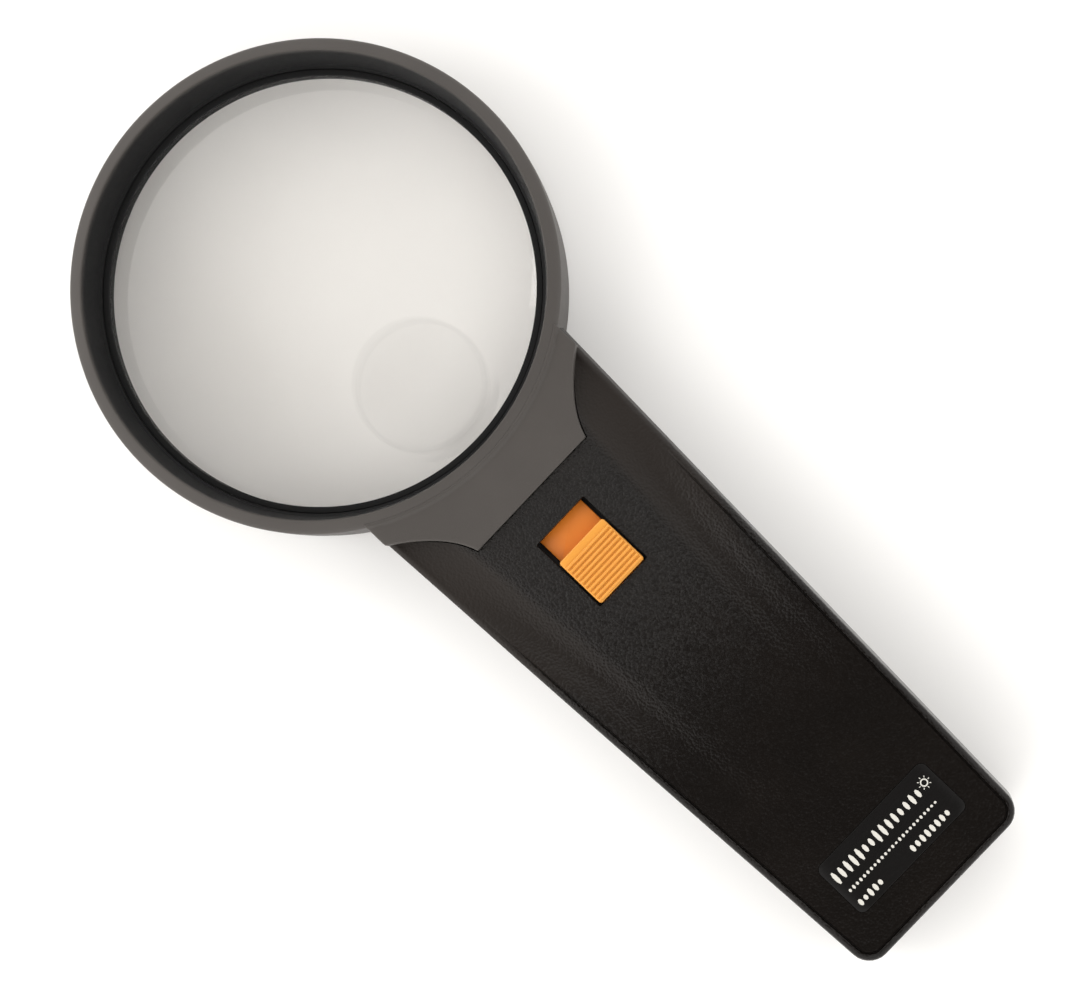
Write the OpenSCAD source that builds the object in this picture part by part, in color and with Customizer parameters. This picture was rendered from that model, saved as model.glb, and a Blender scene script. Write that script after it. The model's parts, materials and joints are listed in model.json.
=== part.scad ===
/* [Lens head] */
// Outer diameter of the round lens frame
ring_d = 99.2; // [98.6:0.1:100.2]
// Height of the lens frame
ring_h = 23; // [22.8:0.1:24]
// Diameter of the lens
lens_d = 90; // [89:0.1:90.2]
// Thickness of the lens at its edge
lens_edge_t = 2.8; // [2.4:0.1:3]
// Curvature radius of both faces of the lens
lens_face_r = 245; // [230:5:300]
// Diameter of the strong spot moulded into the lens
spot_d = 26.8; // [20:0.2:30]
// Distance of the strong spot from the lens centre
spot_offset = 28; // [24:0.5:29]
// Curvature radius of the strong spot
spot_face_r = 75; // [60:1:110]

/* [Handle] */
// Length of the whole magnifier
overall_len = 221.4; // [220.4:0.1:222.6]
// Width of the handle where it meets the lens frame
head_w = 56.2; // [55.6:0.1:57]
// Width of the handle at its tail
tail_w = 43.4; // [43:0.1:45]
// Thickness of the handle
handle_t = 21.5; // [21.4:0.1:21.7]
// Wall thickness of the handle shells
wall = 2; // [1.9:0.05:2]
// Radius of the tail corners seen from the front
corner_r = 5; // [4:0.5:6]
// Radius of the long edges
edge_r = 2.4; // [1.8:0.1:2.6]
// Depth of the finger scoops beside the neck
scoop_depth = 3.2; // [2:0.1:3.4]

/* [Switch] */
// Width of the switch slot
slot_w = 13.4; // [13:0.1:14]
// Length of the switch slot
slot_len = 17.4; // [17.2:0.1:17.8]
// Length of the ribbed thumb cap
cap_len = 11.4; // [11:0.1:11.4]
// Travel of the switch
travel = 5.4; // [5:0.1:5.6]
// Number of ribs on the thumb cap
rib_count = 10; // [6:1:12]

/* [Power] */
// Diameter of one cell
cell_d = 14.3; // [13.5:0.1:14.5]
// Length of one cell with its terminal
cell_len = 50.5; // [49.2:0.1:50.5]
// Number of turns in each contact spring
spring_turns = 4; // [3:1:5]

/* [Hidden] */
$fn = 96;
gap = 0.1;                 // clearance between seated pieces
slide_gap = 0.2;           // clearance around sliding pieces
metal_t = 0.3;             // thickness of the contact strips
slice_t = 0.02;            // thickness of a hull slice

// Lens frame
ring_r = ring_d / 2;
tail_y = -overall_len / 2;
ring_y = overall_len / 2 - ring_r;     // centre of the lens
seat_z = 9.2;                          // seat under the lens edge
seat_fall = 0.5;                       // fall of the seat toward the aperture
lens_top_z = seat_z + lens_edge_t;
retainer_t = 1.3;
step_z = lens_top_z + retainer_t + 0.9;
pocket_r = lens_d / 2 + 0.2;
aperture_r = pocket_r - 1.4;
crest_r = ring_r - 2.9;
window_half_angle = 20;
window_z = [1.9, 8.1];
window_r = crest_r - 0.5;              // inner radius of the light window

// Handle outline: straight tapered sides and round tail corners
head_y = ring_y - 40.2;                // ends inside the lens frame, where it is cut away
slope = (head_w - tail_w) / 2 / (head_y - tail_y);
side_norm = sqrt(1 + slope * slope);
side_draft = 0.5;
corner_steps = 8;                      // facets in each round tail corner
parting_z = 11;

// Neck saddle of the lens frame
saddle_z = 16;
saddle_top = handle_t + 0.5;
saddle_head = [27, ring_y - 46.2];     // where its side curve starts at the lens frame
saddle_tail = [15.5, ring_y - 60.5];   // where its side curve ends at the tail edge
saddle_sag = 1.5;                      // hollow of the side curve
saddle_chord = norm(saddle_head - saddle_tail);
saddle_arc_r = saddle_chord * saddle_chord / 8 / saddle_sag + saddle_sag / 2;
saddle_dir = (saddle_head - saddle_tail) / saddle_chord;
saddle_mid = (saddle_head + saddle_tail) / 2;
saddle_centre = saddle_mid + [saddle_dir[1], -saddle_dir[0]] * (saddle_arc_r - saddle_sag);

// Finger scoops
scoop_r = 26;
scoop_tilt = atan(scoop_depth / 67);

// Switch
slot_tail = ring_y - 85.5;
slot_head = slot_tail + slot_len;
cap_tail = slot_tail + 0.3;
cap_w = slot_w - 1.1;
tongue_w = slot_w - 1.8;
tongue_z = handle_t - wall - slide_gap - 1.7;
tongue_t = 1.7;
tongue_y = [slot_tail - travel - 0.3, slot_head + 1.8];
cap_top = handle_t + 0.6;
rib_h = 0.5;
plate_t = 1.5;
plate_z = tongue_z - slide_gap - plate_t;
contact_y = [-22.5, -14.5];            // rubbing length of the moving contact
strip_z = plate_z - 1.2;               // top of the fixed strips
strip_half_w = 2;
guide_x = [10, 11.4];                  // rails of the front shell beside the guide plate
guide_y = [-33, -3];

// Lamp, on an axis along Y
lamp_z = 8.6;
bulb_r = 5.5;
bulb_front = ring_y - 50;
bulb_neck = bulb_front - 13;           // where the glass meets the metal base
base_r = 4.75;
base_len = 9;
base_end = bulb_neck - base_len;
tip_end = base_end - 2.1;
holder_y = [base_end + 0.2, bulb_neck - 0.2];

// Cells, side by side, the left one facing the lens
cell_r = cell_d / 2;
cell_x = cell_r + 0.3;
cell_z = 10.9;
bay_tail = tail_y + wall;
bay_head = ring_y - 108.7;
bay_x = 15.8;
bay_wall = 1.4;
bay_top = 18;
rail_w = 1.8;                          // width of the door rails beyond the bay walls
rail_top = 3.6;
rest_y = [-62, -78, -94];              // places of the curved rests over the cells
rest_x = 15;
rest_low = 14.5;
spring_wire_r = 0.4;
left_tip = bay_head - 0.6;
right_tip = bay_tail + 0.6;

// Battery door
door_head = bay_head + 2.2;
door_x = 16;
door_t = 1.9;
tongue_reach = 1.4;                    // reach of the door's side tongues
tongue_low = 0.95;
tongue_high = 1.65;
grip_lines = 6;
grip_pitch = 2.2;

// Label
label_x = 14.6;
label_y = [ring_y - 162.9, ring_y - 150.6];
label_depth = 0.2;

// Screws that join the rear shell to the front shell and to the neck
screw_places = [[-19.3, ring_y - 50.2], [19.3, ring_y - 50.2], [-18.5, -38], [18.5, -38]];
screw_head_z = 3;
tower_top = 6;
screw_head_r = 2.6;
counterbore_r = 3;
boss_r = 3;
pilot_r = 1.3;
pilot_top = 15.5;

function half_w(y, inset) = tail_w / 2 + slope * (y - tail_y) - inset * side_norm;

// ---------- shared shapes ----------

// Plan outline of the handle, drawn in by inset, with round tail corners
module outline(inset) {
    r = max(corner_r - inset, 0.8);
    corner_y = tail_y + inset + r;
    corner_x = half_w(corner_y, inset) - r * side_norm;
    arc = [for (i = [0 : corner_steps])
        let (a = -90 + (90 - atan(slope)) * i / corner_steps)
        [corner_x + r * cos(a), corner_y + r * sin(a)]];
    head = half_w(head_y, inset);
    polygon(concat(arc, [[head, head_y], [-head, head_y]],
                   [for (i = [corner_steps : -1 : 0]) [-arc[i][0], arc[i][1]]]));
}

// Solid handle with rounded long edges and a slight draft to both faces
module handle_body() {
    hull() {
        for (a = [0 : 30 : 90]) {
            edge_inset = side_draft + edge_r * (1 - sin(a));
            edge_z = edge_r * (1 - cos(a));
            translate([0, 0, edge_z])
                linear_extrude(slice_t) outline(edge_inset);
            translate([0, 0, handle_t - edge_z - slice_t])
                linear_extrude(slice_t) outline(edge_inset);
        }
        translate([0, 0, parting_z - slice_t / 2])
            linear_extrude(slice_t) outline(0);
    }
}

// Room inside the shells, lower beside the neck where the scoops are
module cavity() {
    side_roof = saddle_z + 0.3;
    translate([0, 0, wall])
        linear_extrude(side_roof - wall) outline(wall);
    translate([0, 0, wall])
        linear_extrude(handle_t - 2 * wall)
            intersection() {
                outline(wall);
                union() {
                    translate([-14.5, tail_y]) square([29, overall_len]);
                    translate([-head_w / 2, tail_y]) square([head_w, -45 - tail_y]);
                }
            }
}

// Everything inside the lens frame's outer wall
module ring_space(extra) {
    translate([0, ring_y, -1]) cylinder(h = ring_h + 5, r = ring_r + extra, $fn = 180);
}

// Plan of the neck saddle, grown by c on its free sides
module saddle_plan(c) {
    difference() {
        polygon([[-saddle_tail[0] - c, saddle_tail[1] - c], [saddle_tail[0] + c, saddle_tail[1] - c],
                 [saddle_tail[0] + c, saddle_tail[1]], [saddle_head[0] + c, saddle_head[1]],
                 [saddle_head[0] - 1, ring_y - 40], [1 - saddle_head[0], ring_y - 40],
                 [-saddle_head[0] - c, saddle_head[1]], [-saddle_tail[0] - c, saddle_tail[1]]]);
        for (s = [-1, 1])
            translate([s * saddle_centre[0], saddle_centre[1]])
                circle(saddle_arc_r - c, $fn = 160);
    }
}

module along_y(x, y, z) {
    translate([x, y, z]) rotate([-90, 0, 0]) children();
}

// Flat strip between two corners
module bar(low, high) {
    translate(low) cube(high - low);
}

function helix_ring(p, q, r, n) =
    let (t = (q - p) / norm(q - p), a = cross(t, [0, 1, 0]), u = a / norm(a), v = cross(t, u))
    [for (i = [0 : n - 1]) p + r * (cos(360 * i / n) * u + sin(360 * i / n) * v)];

// Conical contact spring along Y from its wide end to its narrow end
module contact_spring(y_wide, y_narrow, r_wide, r_narrow) {
    steps = spring_turns * 20;
    sides = 8;
    path = [for (i = [0 : steps + 1])
        let (k = i / steps, r = r_wide + (r_narrow - r_wide) * k, a = 360 * spring_turns * k)
        [r * cos(a), y_wide + (y_narrow - y_wide) * k, r * sin(a)]];
    rings = [for (i = [0 : steps]) helix_ring(path[i], path[i + 1], spring_wire_r, sides)];
    points = [for (ring = rings) for (p = ring) p];
    skin = [for (i = [0 : steps - 1]) for (j = [0 : sides - 1])
        [i * sides + j, (i + 1) * sides + j, (i + 1) * sides + (j + 1) % sides,
         i * sides + (j + 1) % sides]];
    start = [for (j = [0 : sides - 1]) j];
    finish = [for (j = [sides - 1 : -1 : 0]) steps * sides + j];
    polyhedron(points, concat(skin, [start], [finish]), convexity = 6);
}

// ---------- lens head ----------

module lens_frame() {
    color("#6a6866")
    difference() {
        union() {
            translate([0, ring_y, 0])
                rotate_extrude($fn = 180)
                    polygon([[crest_r - 0.1, 0], [ring_r - 1.2, 0], [ring_r - 0.5, 0.7],
                             [ring_r, ring_h - 2], [ring_r - 0.3, ring_h - 1.1],
                             [ring_r - 1.2, ring_h - 0.5], [crest_r + 0.5, ring_h],
                             [crest_r, ring_h - 0.3], [pocket_r + 0.5, step_z],
                             [pocket_r, step_z], [pocket_r, seat_z - gap],
                             [aperture_r - 0.2, seat_z - seat_fall],
                             [aperture_r - 0.2, seat_z - seat_fall - 0.6]]);
            difference() {
                translate([0, 0, saddle_z])
                    linear_extrude(saddle_top - saddle_z) saddle_plan(0);
                translate([0, ring_y, 0])
                    cylinder(h = ring_h + 1, r = ring_r - 1.6, $fn = 180);
            }
            for (i = [0, 1])
                translate([screw_places[i][0], screw_places[i][1], tower_top + slide_gap])
                    cylinder(h = saddle_z - tower_top, r = boss_r);
        }
        for (i = [0, 1])
            translate([screw_places[i][0], screw_places[i][1], 0])
                cylinder(h = pilot_top, r = pilot_r);
        translate([0, ring_y, window_z[0] - gap])
            rotate([0, 0, -90 - window_half_angle])
                rotate_extrude(angle = 2 * window_half_angle, $fn = 180)
                    translate([aperture_r - 2, 0])
                        square([ring_r - aperture_r + 4, window_z[1] - window_z[0] + 2 * gap]);
    }
}

module lens() {
    centre_drop = sqrt(pow(lens_face_r, 2) - pow(lens_d / 2, 2));
    spot_slope = asin(spot_offset / lens_face_r);
    spot_drop = sqrt(pow(spot_face_r, 2) - pow(spot_d / 2, 2));
    surface_drop = sqrt(pow(lens_face_r, 2) - pow(spot_d / 2, 2));
    color("#dfe3e0", 0.4)
    translate([0, ring_y, 0])
    union() {
        intersection() {
            translate([0, 0, seat_z - 10]) cylinder(h = 30, r = lens_d / 2, $fn = 180);
            translate([0, 0, lens_top_z - centre_drop]) sphere(lens_face_r, $fn = 180);
            translate([0, 0, seat_z + centre_drop]) sphere(lens_face_r, $fn = 180);
        }
        translate([0, 0, lens_top_z - centre_drop])
            rotate([spot_slope, 0, 0])
                translate([0, 0, surface_drop])
                    difference() {
                        intersection() {
                            translate([0, 0, -spot_drop]) sphere(spot_face_r, $fn = 180);
                            translate([0, 0, -1]) cylinder(h = 10, r = spot_d / 2 + 1);
                        }
                        translate([0, 0, -3]) cylinder(h = 2.5, r = spot_d);
                    }
    }
}

module retaining_ring() {
    color("#5c5a58")
    translate([0, ring_y, lens_top_z + gap / 2])
        rotate_extrude($fn = 180)
            polygon([[aperture_r, seat_fall - gap], [pocket_r - gap, 0], [pocket_r - gap, retainer_t],
                     [aperture_r + 0.2, retainer_t], [aperture_r, retainer_t - 0.2]]);
}

module light_window() {
    color("#e8ebe6", 0.5)
    translate([0, ring_y, window_z[0]])
        rotate([0, 0, -90 - window_half_angle + 0.2])
            rotate_extrude(angle = 2 * window_half_angle - 0.4, $fn = 180)
                translate([window_r, 0]) square([1.5, window_z[1] - window_z[0]]);
}

// ---------- lamp ----------

module reflector() {
    mouth = ring_y - 50.9;
    half_mouth = 13.8;
    back = bulb_neck + 0.2;
    color("#e9e7df")
    difference() {
        bar([-half_mouth - 1, back, wall + 0.3], [half_mouth + 1, mouth, saddle_z - 0.3]);
        translate([0, 0, lamp_z - 5.9])
            linear_extrude(11.8)
                polygon(concat([for (x = [-half_mouth : half_mouth])
                                   [x, back + 1.6 + pow(x / half_mouth, 2) * 7]],
                               [[half_mouth, mouth + 1], [-half_mouth, mouth + 1]]));
        along_y(0, back - 1, lamp_z) cylinder(h = 4, r = bulb_r + 0.2);
    }
}

module bulb_glass() {
    color("#f4f6f2", 0.4)
    along_y(0, bulb_neck, lamp_z)
        difference() {
            bulb_form(0);
            bulb_form(0.5);
        }
}

// Round-ended envelope of the lamp, drawn in by t
module bulb_form(t) {
    length = bulb_front - bulb_neck;
    union() {
        translate([0, 0, length - bulb_r]) sphere(bulb_r - t);
        translate([0, 0, 3]) cylinder(h = length - bulb_r - 3, r = bulb_r - t);
        translate([0, 0, t > 0 ? -1 : 0]) cylinder(h = 4, r = base_r - 0.5 - t);
    }
}

module bulb_filament() {
    post_h = 7;
    color("#b9b4a8")
    along_y(0, bulb_neck + gap, lamp_z) {
        for (s = [-1, 1])
            translate([s * 1.6, 0, 0]) cylinder(h = post_h, r = 0.2, $fn = 16);
        translate([-1.6, 0, post_h - 0.2]) rotate([0, 90, 0]) cylinder(h = 3.2, r = 0.15, $fn = 16);
        cylinder(h = 1.5, r = 2.4, $fn = 48);
    }
}

module bulb_base() {
    threads = 5;
    color("#c9a24a")
    along_y(0, base_end, lamp_z)
        difference() {
            union() {
                cylinder(h = base_len, r = base_r - 0.35);
                for (i = [0 : threads - 1])
                    translate([0, 0, 0.5 + i * 1.5])
                        rotate_extrude()
                            polygon([[base_r - 0.6, 0], [base_r - 0.35, 0], [base_r, 0.5],
                                     [base_r - 0.35, 1], [base_r - 0.6, 1]]);
            }
            translate([0, 0, 1]) cylinder(h = base_len, r = base_r - 0.8);
        }
}

module bulb_tip() {
    color("#8d8f92")
    along_y(0, tip_end, lamp_z)
        union() {
            cylinder(h = 0.8, r = 1.5);
            translate([0, 0, 0.7]) cylinder(h = 1.3, r = 3.2);
        }
}

module bulb_socket() {
    color("#c4a052")
    along_y(0, holder_y[0], lamp_z)
        difference() {
            union() {
                cylinder(h = holder_y[1] - holder_y[0], r = base_r + 0.5);
                cylinder(h = 0.4, r = base_r + 0.9);
            }
            translate([0, 0, -1]) cylinder(h = base_len + 2, r = base_r + 0.1);
        }
}

module bulb_holder() {
    color("#d8d5cb")
    difference() {
        bar([-7, holder_y[0] + 0.5, wall + gap], [7, holder_y[1], strip_z - metal_t - gap]);
        along_y(0, holder_y[0] - 1, lamp_z) cylinder(h = base_len + 3, r = base_r + 0.6);
    }
}

// ---------- handle ----------

// Finger scoops: two long round cuts that fade out toward the tail
module scoops() {
    for (s = [-1, 1])
        translate([s * (half_w(saddle_head[1], 0) + 1), saddle_head[1],
                   handle_t - scoop_depth + scoop_r])
            rotate([0, 0, -s * atan(slope)])
                rotate([90 - scoop_tilt, 0, 0])
                    translate([0, 0, -20]) cylinder(h = 110, r = scoop_r, $fn = 120);
}

// Curved rests that hold both cells against the front shell
module cell_rests() {
    for (y = rest_y)
        difference() {
            bar([-rest_x, y, rest_low], [rest_x, y + bay_wall, handle_t - wall + gap]);
            for (s = [-1, 1])
                along_y(s * cell_x, y - 1, cell_z) cylinder(h = 4, r = cell_r + gap);
        }
}

module front_shell() {
    color("#1d1b1a")
    difference() {
        union() {
            difference() {
                intersection() {
                    handle_body();
                    bar([-40, tail_y - 1, parting_z], [40, head_y, handle_t + 1]);
                }
                cavity();
            }
            for (i = [2, 3])
                translate([screw_places[i][0], screw_places[i][1], tower_top + slide_gap])
                    cylinder(h = handle_t - wall - tower_top, r = boss_r);
            cell_rests();
            for (s = [-1, 1])
                bar([s > 0 ? guide_x[0] : -guide_x[1], guide_y[0], plate_z],
                    [s > 0 ? guide_x[1] : -guide_x[0], guide_y[1], handle_t - wall + gap]);
        }
        for (i = [2, 3])
            translate([screw_places[i][0], screw_places[i][1], 0])
                cylinder(h = pilot_top, r = pilot_r);
        ring_space(gap);
        translate([0, 0, saddle_z - gap])
            linear_extrude(handle_t) saddle_plan(gap);
        bar([-slot_w / 2, slot_tail, handle_t - wall - 1], [slot_w / 2, slot_head, handle_t + 1]);
        bar([-label_x - gap, label_y[0] - gap, handle_t - label_depth],
            [label_x + gap, label_y[1] + gap, handle_t + 1]);
        scoops();
    }
}

module rear_shell() {
    lip_top = parting_z + 1.5;
    color("#1d1b1a")
    difference() {
        union() {
            difference() {
                intersection() {
                    handle_body();
                    bar([-40, tail_y - 1, -1], [40, head_y, parting_z]);
                }
                cavity();
            }
            difference() {
                union() {
                    translate([0, 0, parting_z - 3])
                        linear_extrude(3) outline(wall - 0.5);
                    translate([0, 0, parting_z - 1])
                        linear_extrude(lip_top - parting_z + 1) outline(wall + 0.15);
                }
                translate([0, 0, parting_z - 4])
                    linear_extrude(10) outline(wall + 1);
                bar([-bay_x, bay_tail - gap, parting_z - 4], [bay_x, bay_tail + 2, lip_top + 1]);
            }
            for (p = screw_places)
                translate([p[0], p[1], wall - gap]) cylinder(h = tower_top - wall + gap, r = boss_r + 1.1);
            for (s = [-1, 1]) {
                bar([s > 0 ? bay_x : -bay_x - bay_wall, bay_tail + gap, wall - gap],
                    [s > 0 ? bay_x + bay_wall : -bay_x, bay_head + bay_wall, bay_top]);
                bar([s > 0 ? bay_x : -bay_x - bay_wall - rail_w, bay_tail - gap, wall - gap],
                    [s > 0 ? bay_x + bay_wall + rail_w : -bay_x, door_head + 1, rail_top]);
            }
            bar([-bay_x - 1, bay_head, wall - gap], [bay_x + 1, bay_head + bay_wall, bay_top]);
        }
        ring_space(gap);
        for (p = screw_places)
            translate([p[0], p[1], -1]) {
                cylinder(h = screw_head_z + 1, r = counterbore_r);
                cylinder(h = tower_top + 2, r = pilot_r + 0.25);
            }
        bar([-door_x - slide_gap, tail_y - 1, -1], [door_x + slide_gap, door_head + slide_gap, wall]);
        bar([-door_x - tongue_reach - 0.3, tail_y - 1, tongue_low - slide_gap],
            [door_x + tongue_reach + 0.3, door_head + slide_gap, tongue_high + slide_gap]);
        bar([-9.7, bay_head - 1, strip_z - 1.2], [-5.3, bay_head + 2, strip_z + 0.2]);
        bar([8.3, bay_head - 1, 7.8], [10.7, bay_head + 2, 12.2]);
    }
}

module battery_door() {
    color("#1d1b1a")
    intersection() {
        handle_body();
        difference() {
            union() {
                bar([-door_x, tail_y - 1, -1], [door_x, door_head, door_t - gap]);
                bar([-door_x - tongue_reach, tail_y - 1, tongue_low],
                    [door_x + tongue_reach, door_head - 1, tongue_high]);
            }
            for (i = [0 : grip_lines - 1])
                bar([-9, door_head - 8 - i * grip_pitch, -1], [9, door_head - 6.9 - i * grip_pitch, 0.6]);
        }
    }
}

module label_plate() {
    color("#141414")
    bar([-label_x, label_y[0], handle_t - label_depth + 0.05], [label_x, label_y[1], handle_t + gap]);
}

module case_screws() {
    color("#9a9da0")
    for (p = screw_places)
        translate([p[0], p[1], 0])
            difference() {
                union() {
                    translate([0, 0, screw_head_z - 1.7]) cylinder(h = 1.65, r = screw_head_r);
                    translate([0, 0, screw_head_z - 0.1]) cylinder(h = 11.5, r = pilot_r - 0.1);
                }
                for (a = [0, 90])
                    translate([0, 0, screw_head_z - 1.8])
                        rotate([0, 0, a]) translate([-1.6, -0.3, 0]) cube([3.2, 0.6, 0.9]);
            }
}

// ---------- switch ----------

module switch_slider() {
    rib_pitch = (cap_len - 1.4) / rib_count;
    color("#f09a3a")
    union() {
        bar([-tongue_w / 2, tongue_y[0], tongue_z], [tongue_w / 2, tongue_y[1], tongue_z + tongue_t]);
        bar([-cap_w / 2, cap_tail, tongue_z + 0.5], [cap_w / 2, cap_tail + cap_len, cap_top]);
        for (i = [0 : rib_count - 1])
            translate([-cap_w / 2, cap_tail + (i + 0.5) * rib_pitch, cap_top - gap])
                rotate([90, 0, 90])
                    linear_extrude(cap_w)
                        polygon([[-rib_pitch * 0.42, 0], [rib_pitch * 0.42, 0],
                                 [rib_pitch * 0.16, rib_h + gap], [-rib_pitch * 0.16, rib_h + gap]]);
    }
}

module switch_contact() {
    foot_z = strip_z + 0.05;
    color("#c9b27a")
    union() {
        bar([-strip_half_w, contact_y[0], tongue_z - metal_t], [strip_half_w, contact_y[1], tongue_z]);
        for (y = [contact_y[0], contact_y[1] - 1.5])
            bar([-strip_half_w, y, foot_z], [strip_half_w, y + 1.5, tongue_z - gap]);
    }
}

module switch_plate() {
    color("#2c2b2a")
    difference() {
        bar([slide_gap - guide_x[0], guide_y[0], plate_z],
            [guide_x[0] - slide_gap, guide_y[1], plate_z + plate_t]);
        bar([-2.6, contact_y[0] - 0.8, plate_z - 1], [2.6, contact_y[1] + travel + 0.8, plate_z + 3]);
    }
}

// ---------- electrical strips ----------

module lamp_strip() {
    strip_low = strip_z - metal_t;
    back_y = tip_end - gap / 2;
    color("#cfc6a4")
    union() {
        bar([-strip_half_w, back_y - metal_t, strip_low], [strip_half_w, -8.4, strip_z]);
        bar([-strip_half_w, back_y - metal_t, lamp_z - 1.6], [strip_half_w, back_y, strip_z]);
    }
}

module positive_strip() {
    strip_low = strip_z - metal_t;
    color("#cfc6a4")
    union() {
        bar([-strip_half_w, bay_head + 1.8, strip_low], [strip_half_w, -15.5, strip_z]);
        bar([-9.5, bay_head + 1.8, strip_low], [strip_half_w, bay_head + 5, strip_z]);
        bar([-9.5, bay_head - 0.5, strip_low], [-5.5, bay_head + 1.9, strip_z]);
        bar([-11.5, bay_head - 0.5, 6.5], [-3.5, bay_head - gap, strip_z]);
    }
}

module return_strip() {
    eye_y = holder_y[0] - 0.35;
    color("#cfc6a4")
    difference() {
        union() {
            bar([3.5, bay_head - 0.5, 6.5], [11.5, bay_head - gap, 14.5]);
            bar([9.3, bay_head - 0.5, 8], [9.6, eye_y + metal_t, 12]);
            bar([-6.2, eye_y, 2.6], [9.6, eye_y + metal_t, 13.8]);
        }
        along_y(0, eye_y - 1, lamp_z) cylinder(h = 3, r = base_r + 0.2);
    }
}

module head_spring() {
    color("#b8bcc0")
    translate([cell_x, 0, cell_z])
        contact_spring(bay_head - 0.55 - spring_wire_r, right_tip + cell_len + 0.05 + spring_wire_r, 5.4, 3.2);
}

module tail_spring() {
    color("#b8bcc0")
    translate([-cell_x, 0, cell_z])
        contact_spring(bay_tail + 0.55 + spring_wire_r, left_tip - cell_len - 0.05 - spring_wire_r, 5.4, 3.2);
}

module series_bridge() {
    color("#cfc6a4")
    bar([-13, bay_tail + gap, 5.5], [13, bay_tail + 0.5, 16.3]);
}

// One cell along +Y, its terminal at the far end
module cell() {
    button_len = 1;
    crimp = 0.6;
    rotate([-90, 0, 0])
        union() {
            rotate_extrude()
                polygon([[0, 0], [cell_r - crimp, 0], [cell_r, crimp],
                         [cell_r, cell_len - button_len - crimp],
                         [cell_r - crimp, cell_len - button_len], [0, cell_len - button_len]]);
            cylinder(h = cell_len, r = 2.7);
        }
}

module left_cell() {
    color("#7d8a90")
    translate([-cell_x, left_tip - cell_len, cell_z]) cell();
}

module right_cell() {
    color("#7d8a90")
    translate([cell_x, right_tip + cell_len, cell_z]) rotate([0, 0, 180]) cell();
}

lens_frame();
lens();
retaining_ring();
light_window();
reflector();
bulb_glass();
bulb_filament();
bulb_base();
bulb_tip();
bulb_socket();
bulb_holder();
front_shell();
rear_shell();
battery_door();
switch_slider();
switch_contact();
switch_plate();
lamp_strip();
positive_strip();
return_strip();
head_spring();
tail_spring();
series_bridge();
left_cell();
right_cell();
case_screws();
label_plate();
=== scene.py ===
import json
import math

import bmesh
import bpy
from bpy.props import FloatProperty, FloatVectorProperty, IntProperty, PointerProperty
from bpy.types import Operator, Panel, PropertyGroup
from mathutils import Matrix, Vector

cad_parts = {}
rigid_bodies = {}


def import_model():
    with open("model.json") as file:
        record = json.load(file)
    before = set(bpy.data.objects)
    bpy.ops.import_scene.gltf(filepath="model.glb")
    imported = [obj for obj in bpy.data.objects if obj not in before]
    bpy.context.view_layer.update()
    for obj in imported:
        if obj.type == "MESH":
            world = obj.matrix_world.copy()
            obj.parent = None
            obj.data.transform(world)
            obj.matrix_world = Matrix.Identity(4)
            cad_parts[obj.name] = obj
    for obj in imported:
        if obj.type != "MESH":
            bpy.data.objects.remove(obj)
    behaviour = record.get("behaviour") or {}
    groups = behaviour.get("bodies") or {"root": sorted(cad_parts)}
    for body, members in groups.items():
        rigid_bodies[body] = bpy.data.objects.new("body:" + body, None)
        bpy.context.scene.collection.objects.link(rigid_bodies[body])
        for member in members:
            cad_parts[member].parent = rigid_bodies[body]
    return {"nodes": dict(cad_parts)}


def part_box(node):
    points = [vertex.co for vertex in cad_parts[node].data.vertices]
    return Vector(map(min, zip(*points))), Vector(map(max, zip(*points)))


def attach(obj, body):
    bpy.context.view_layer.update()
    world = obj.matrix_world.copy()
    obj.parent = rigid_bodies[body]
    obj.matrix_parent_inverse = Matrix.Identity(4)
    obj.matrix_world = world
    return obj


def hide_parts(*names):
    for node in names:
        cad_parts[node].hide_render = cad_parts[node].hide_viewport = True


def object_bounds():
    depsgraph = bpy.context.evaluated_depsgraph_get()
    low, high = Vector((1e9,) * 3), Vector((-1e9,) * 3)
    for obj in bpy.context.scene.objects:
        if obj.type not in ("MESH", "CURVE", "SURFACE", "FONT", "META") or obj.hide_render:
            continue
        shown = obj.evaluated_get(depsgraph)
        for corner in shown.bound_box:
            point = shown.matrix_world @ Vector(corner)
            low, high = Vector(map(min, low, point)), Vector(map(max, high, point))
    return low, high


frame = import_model()
CAD_LOW, CAD_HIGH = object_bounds()

bl_info = {
    "name": "Low Vision Magnifier",
    "version": (1, 0, 0),
    "blender": (4, 5, 0),
    "location": "3D View > Sidebar > Magnifier",
    "description": "Builds the visible pieces of a battery-lit round hand magnifier",
    "category": "Add Mesh",
}

MM = 0.001
BODY_CASE, BODY_SWITCH, BODY_DOOR = "case", "switch", "door"

# ---------------------------------------------------------------- places read from the frame

RING_LOW, RING_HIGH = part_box("lens_frame")
LENS_LOW, LENS_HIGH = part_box("lens")
FRONT_LOW, FRONT_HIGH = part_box("front_shell")
REAR_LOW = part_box("rear_shell")[0]
SLIDER_LOW, SLIDER_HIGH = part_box("switch_slider")
LABEL_LOW, LABEL_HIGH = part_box("label_plate")
DOOR_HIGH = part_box("battery_door")[1]
RETAINER_LOW, RETAINER_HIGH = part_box("retaining_ring")

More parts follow.
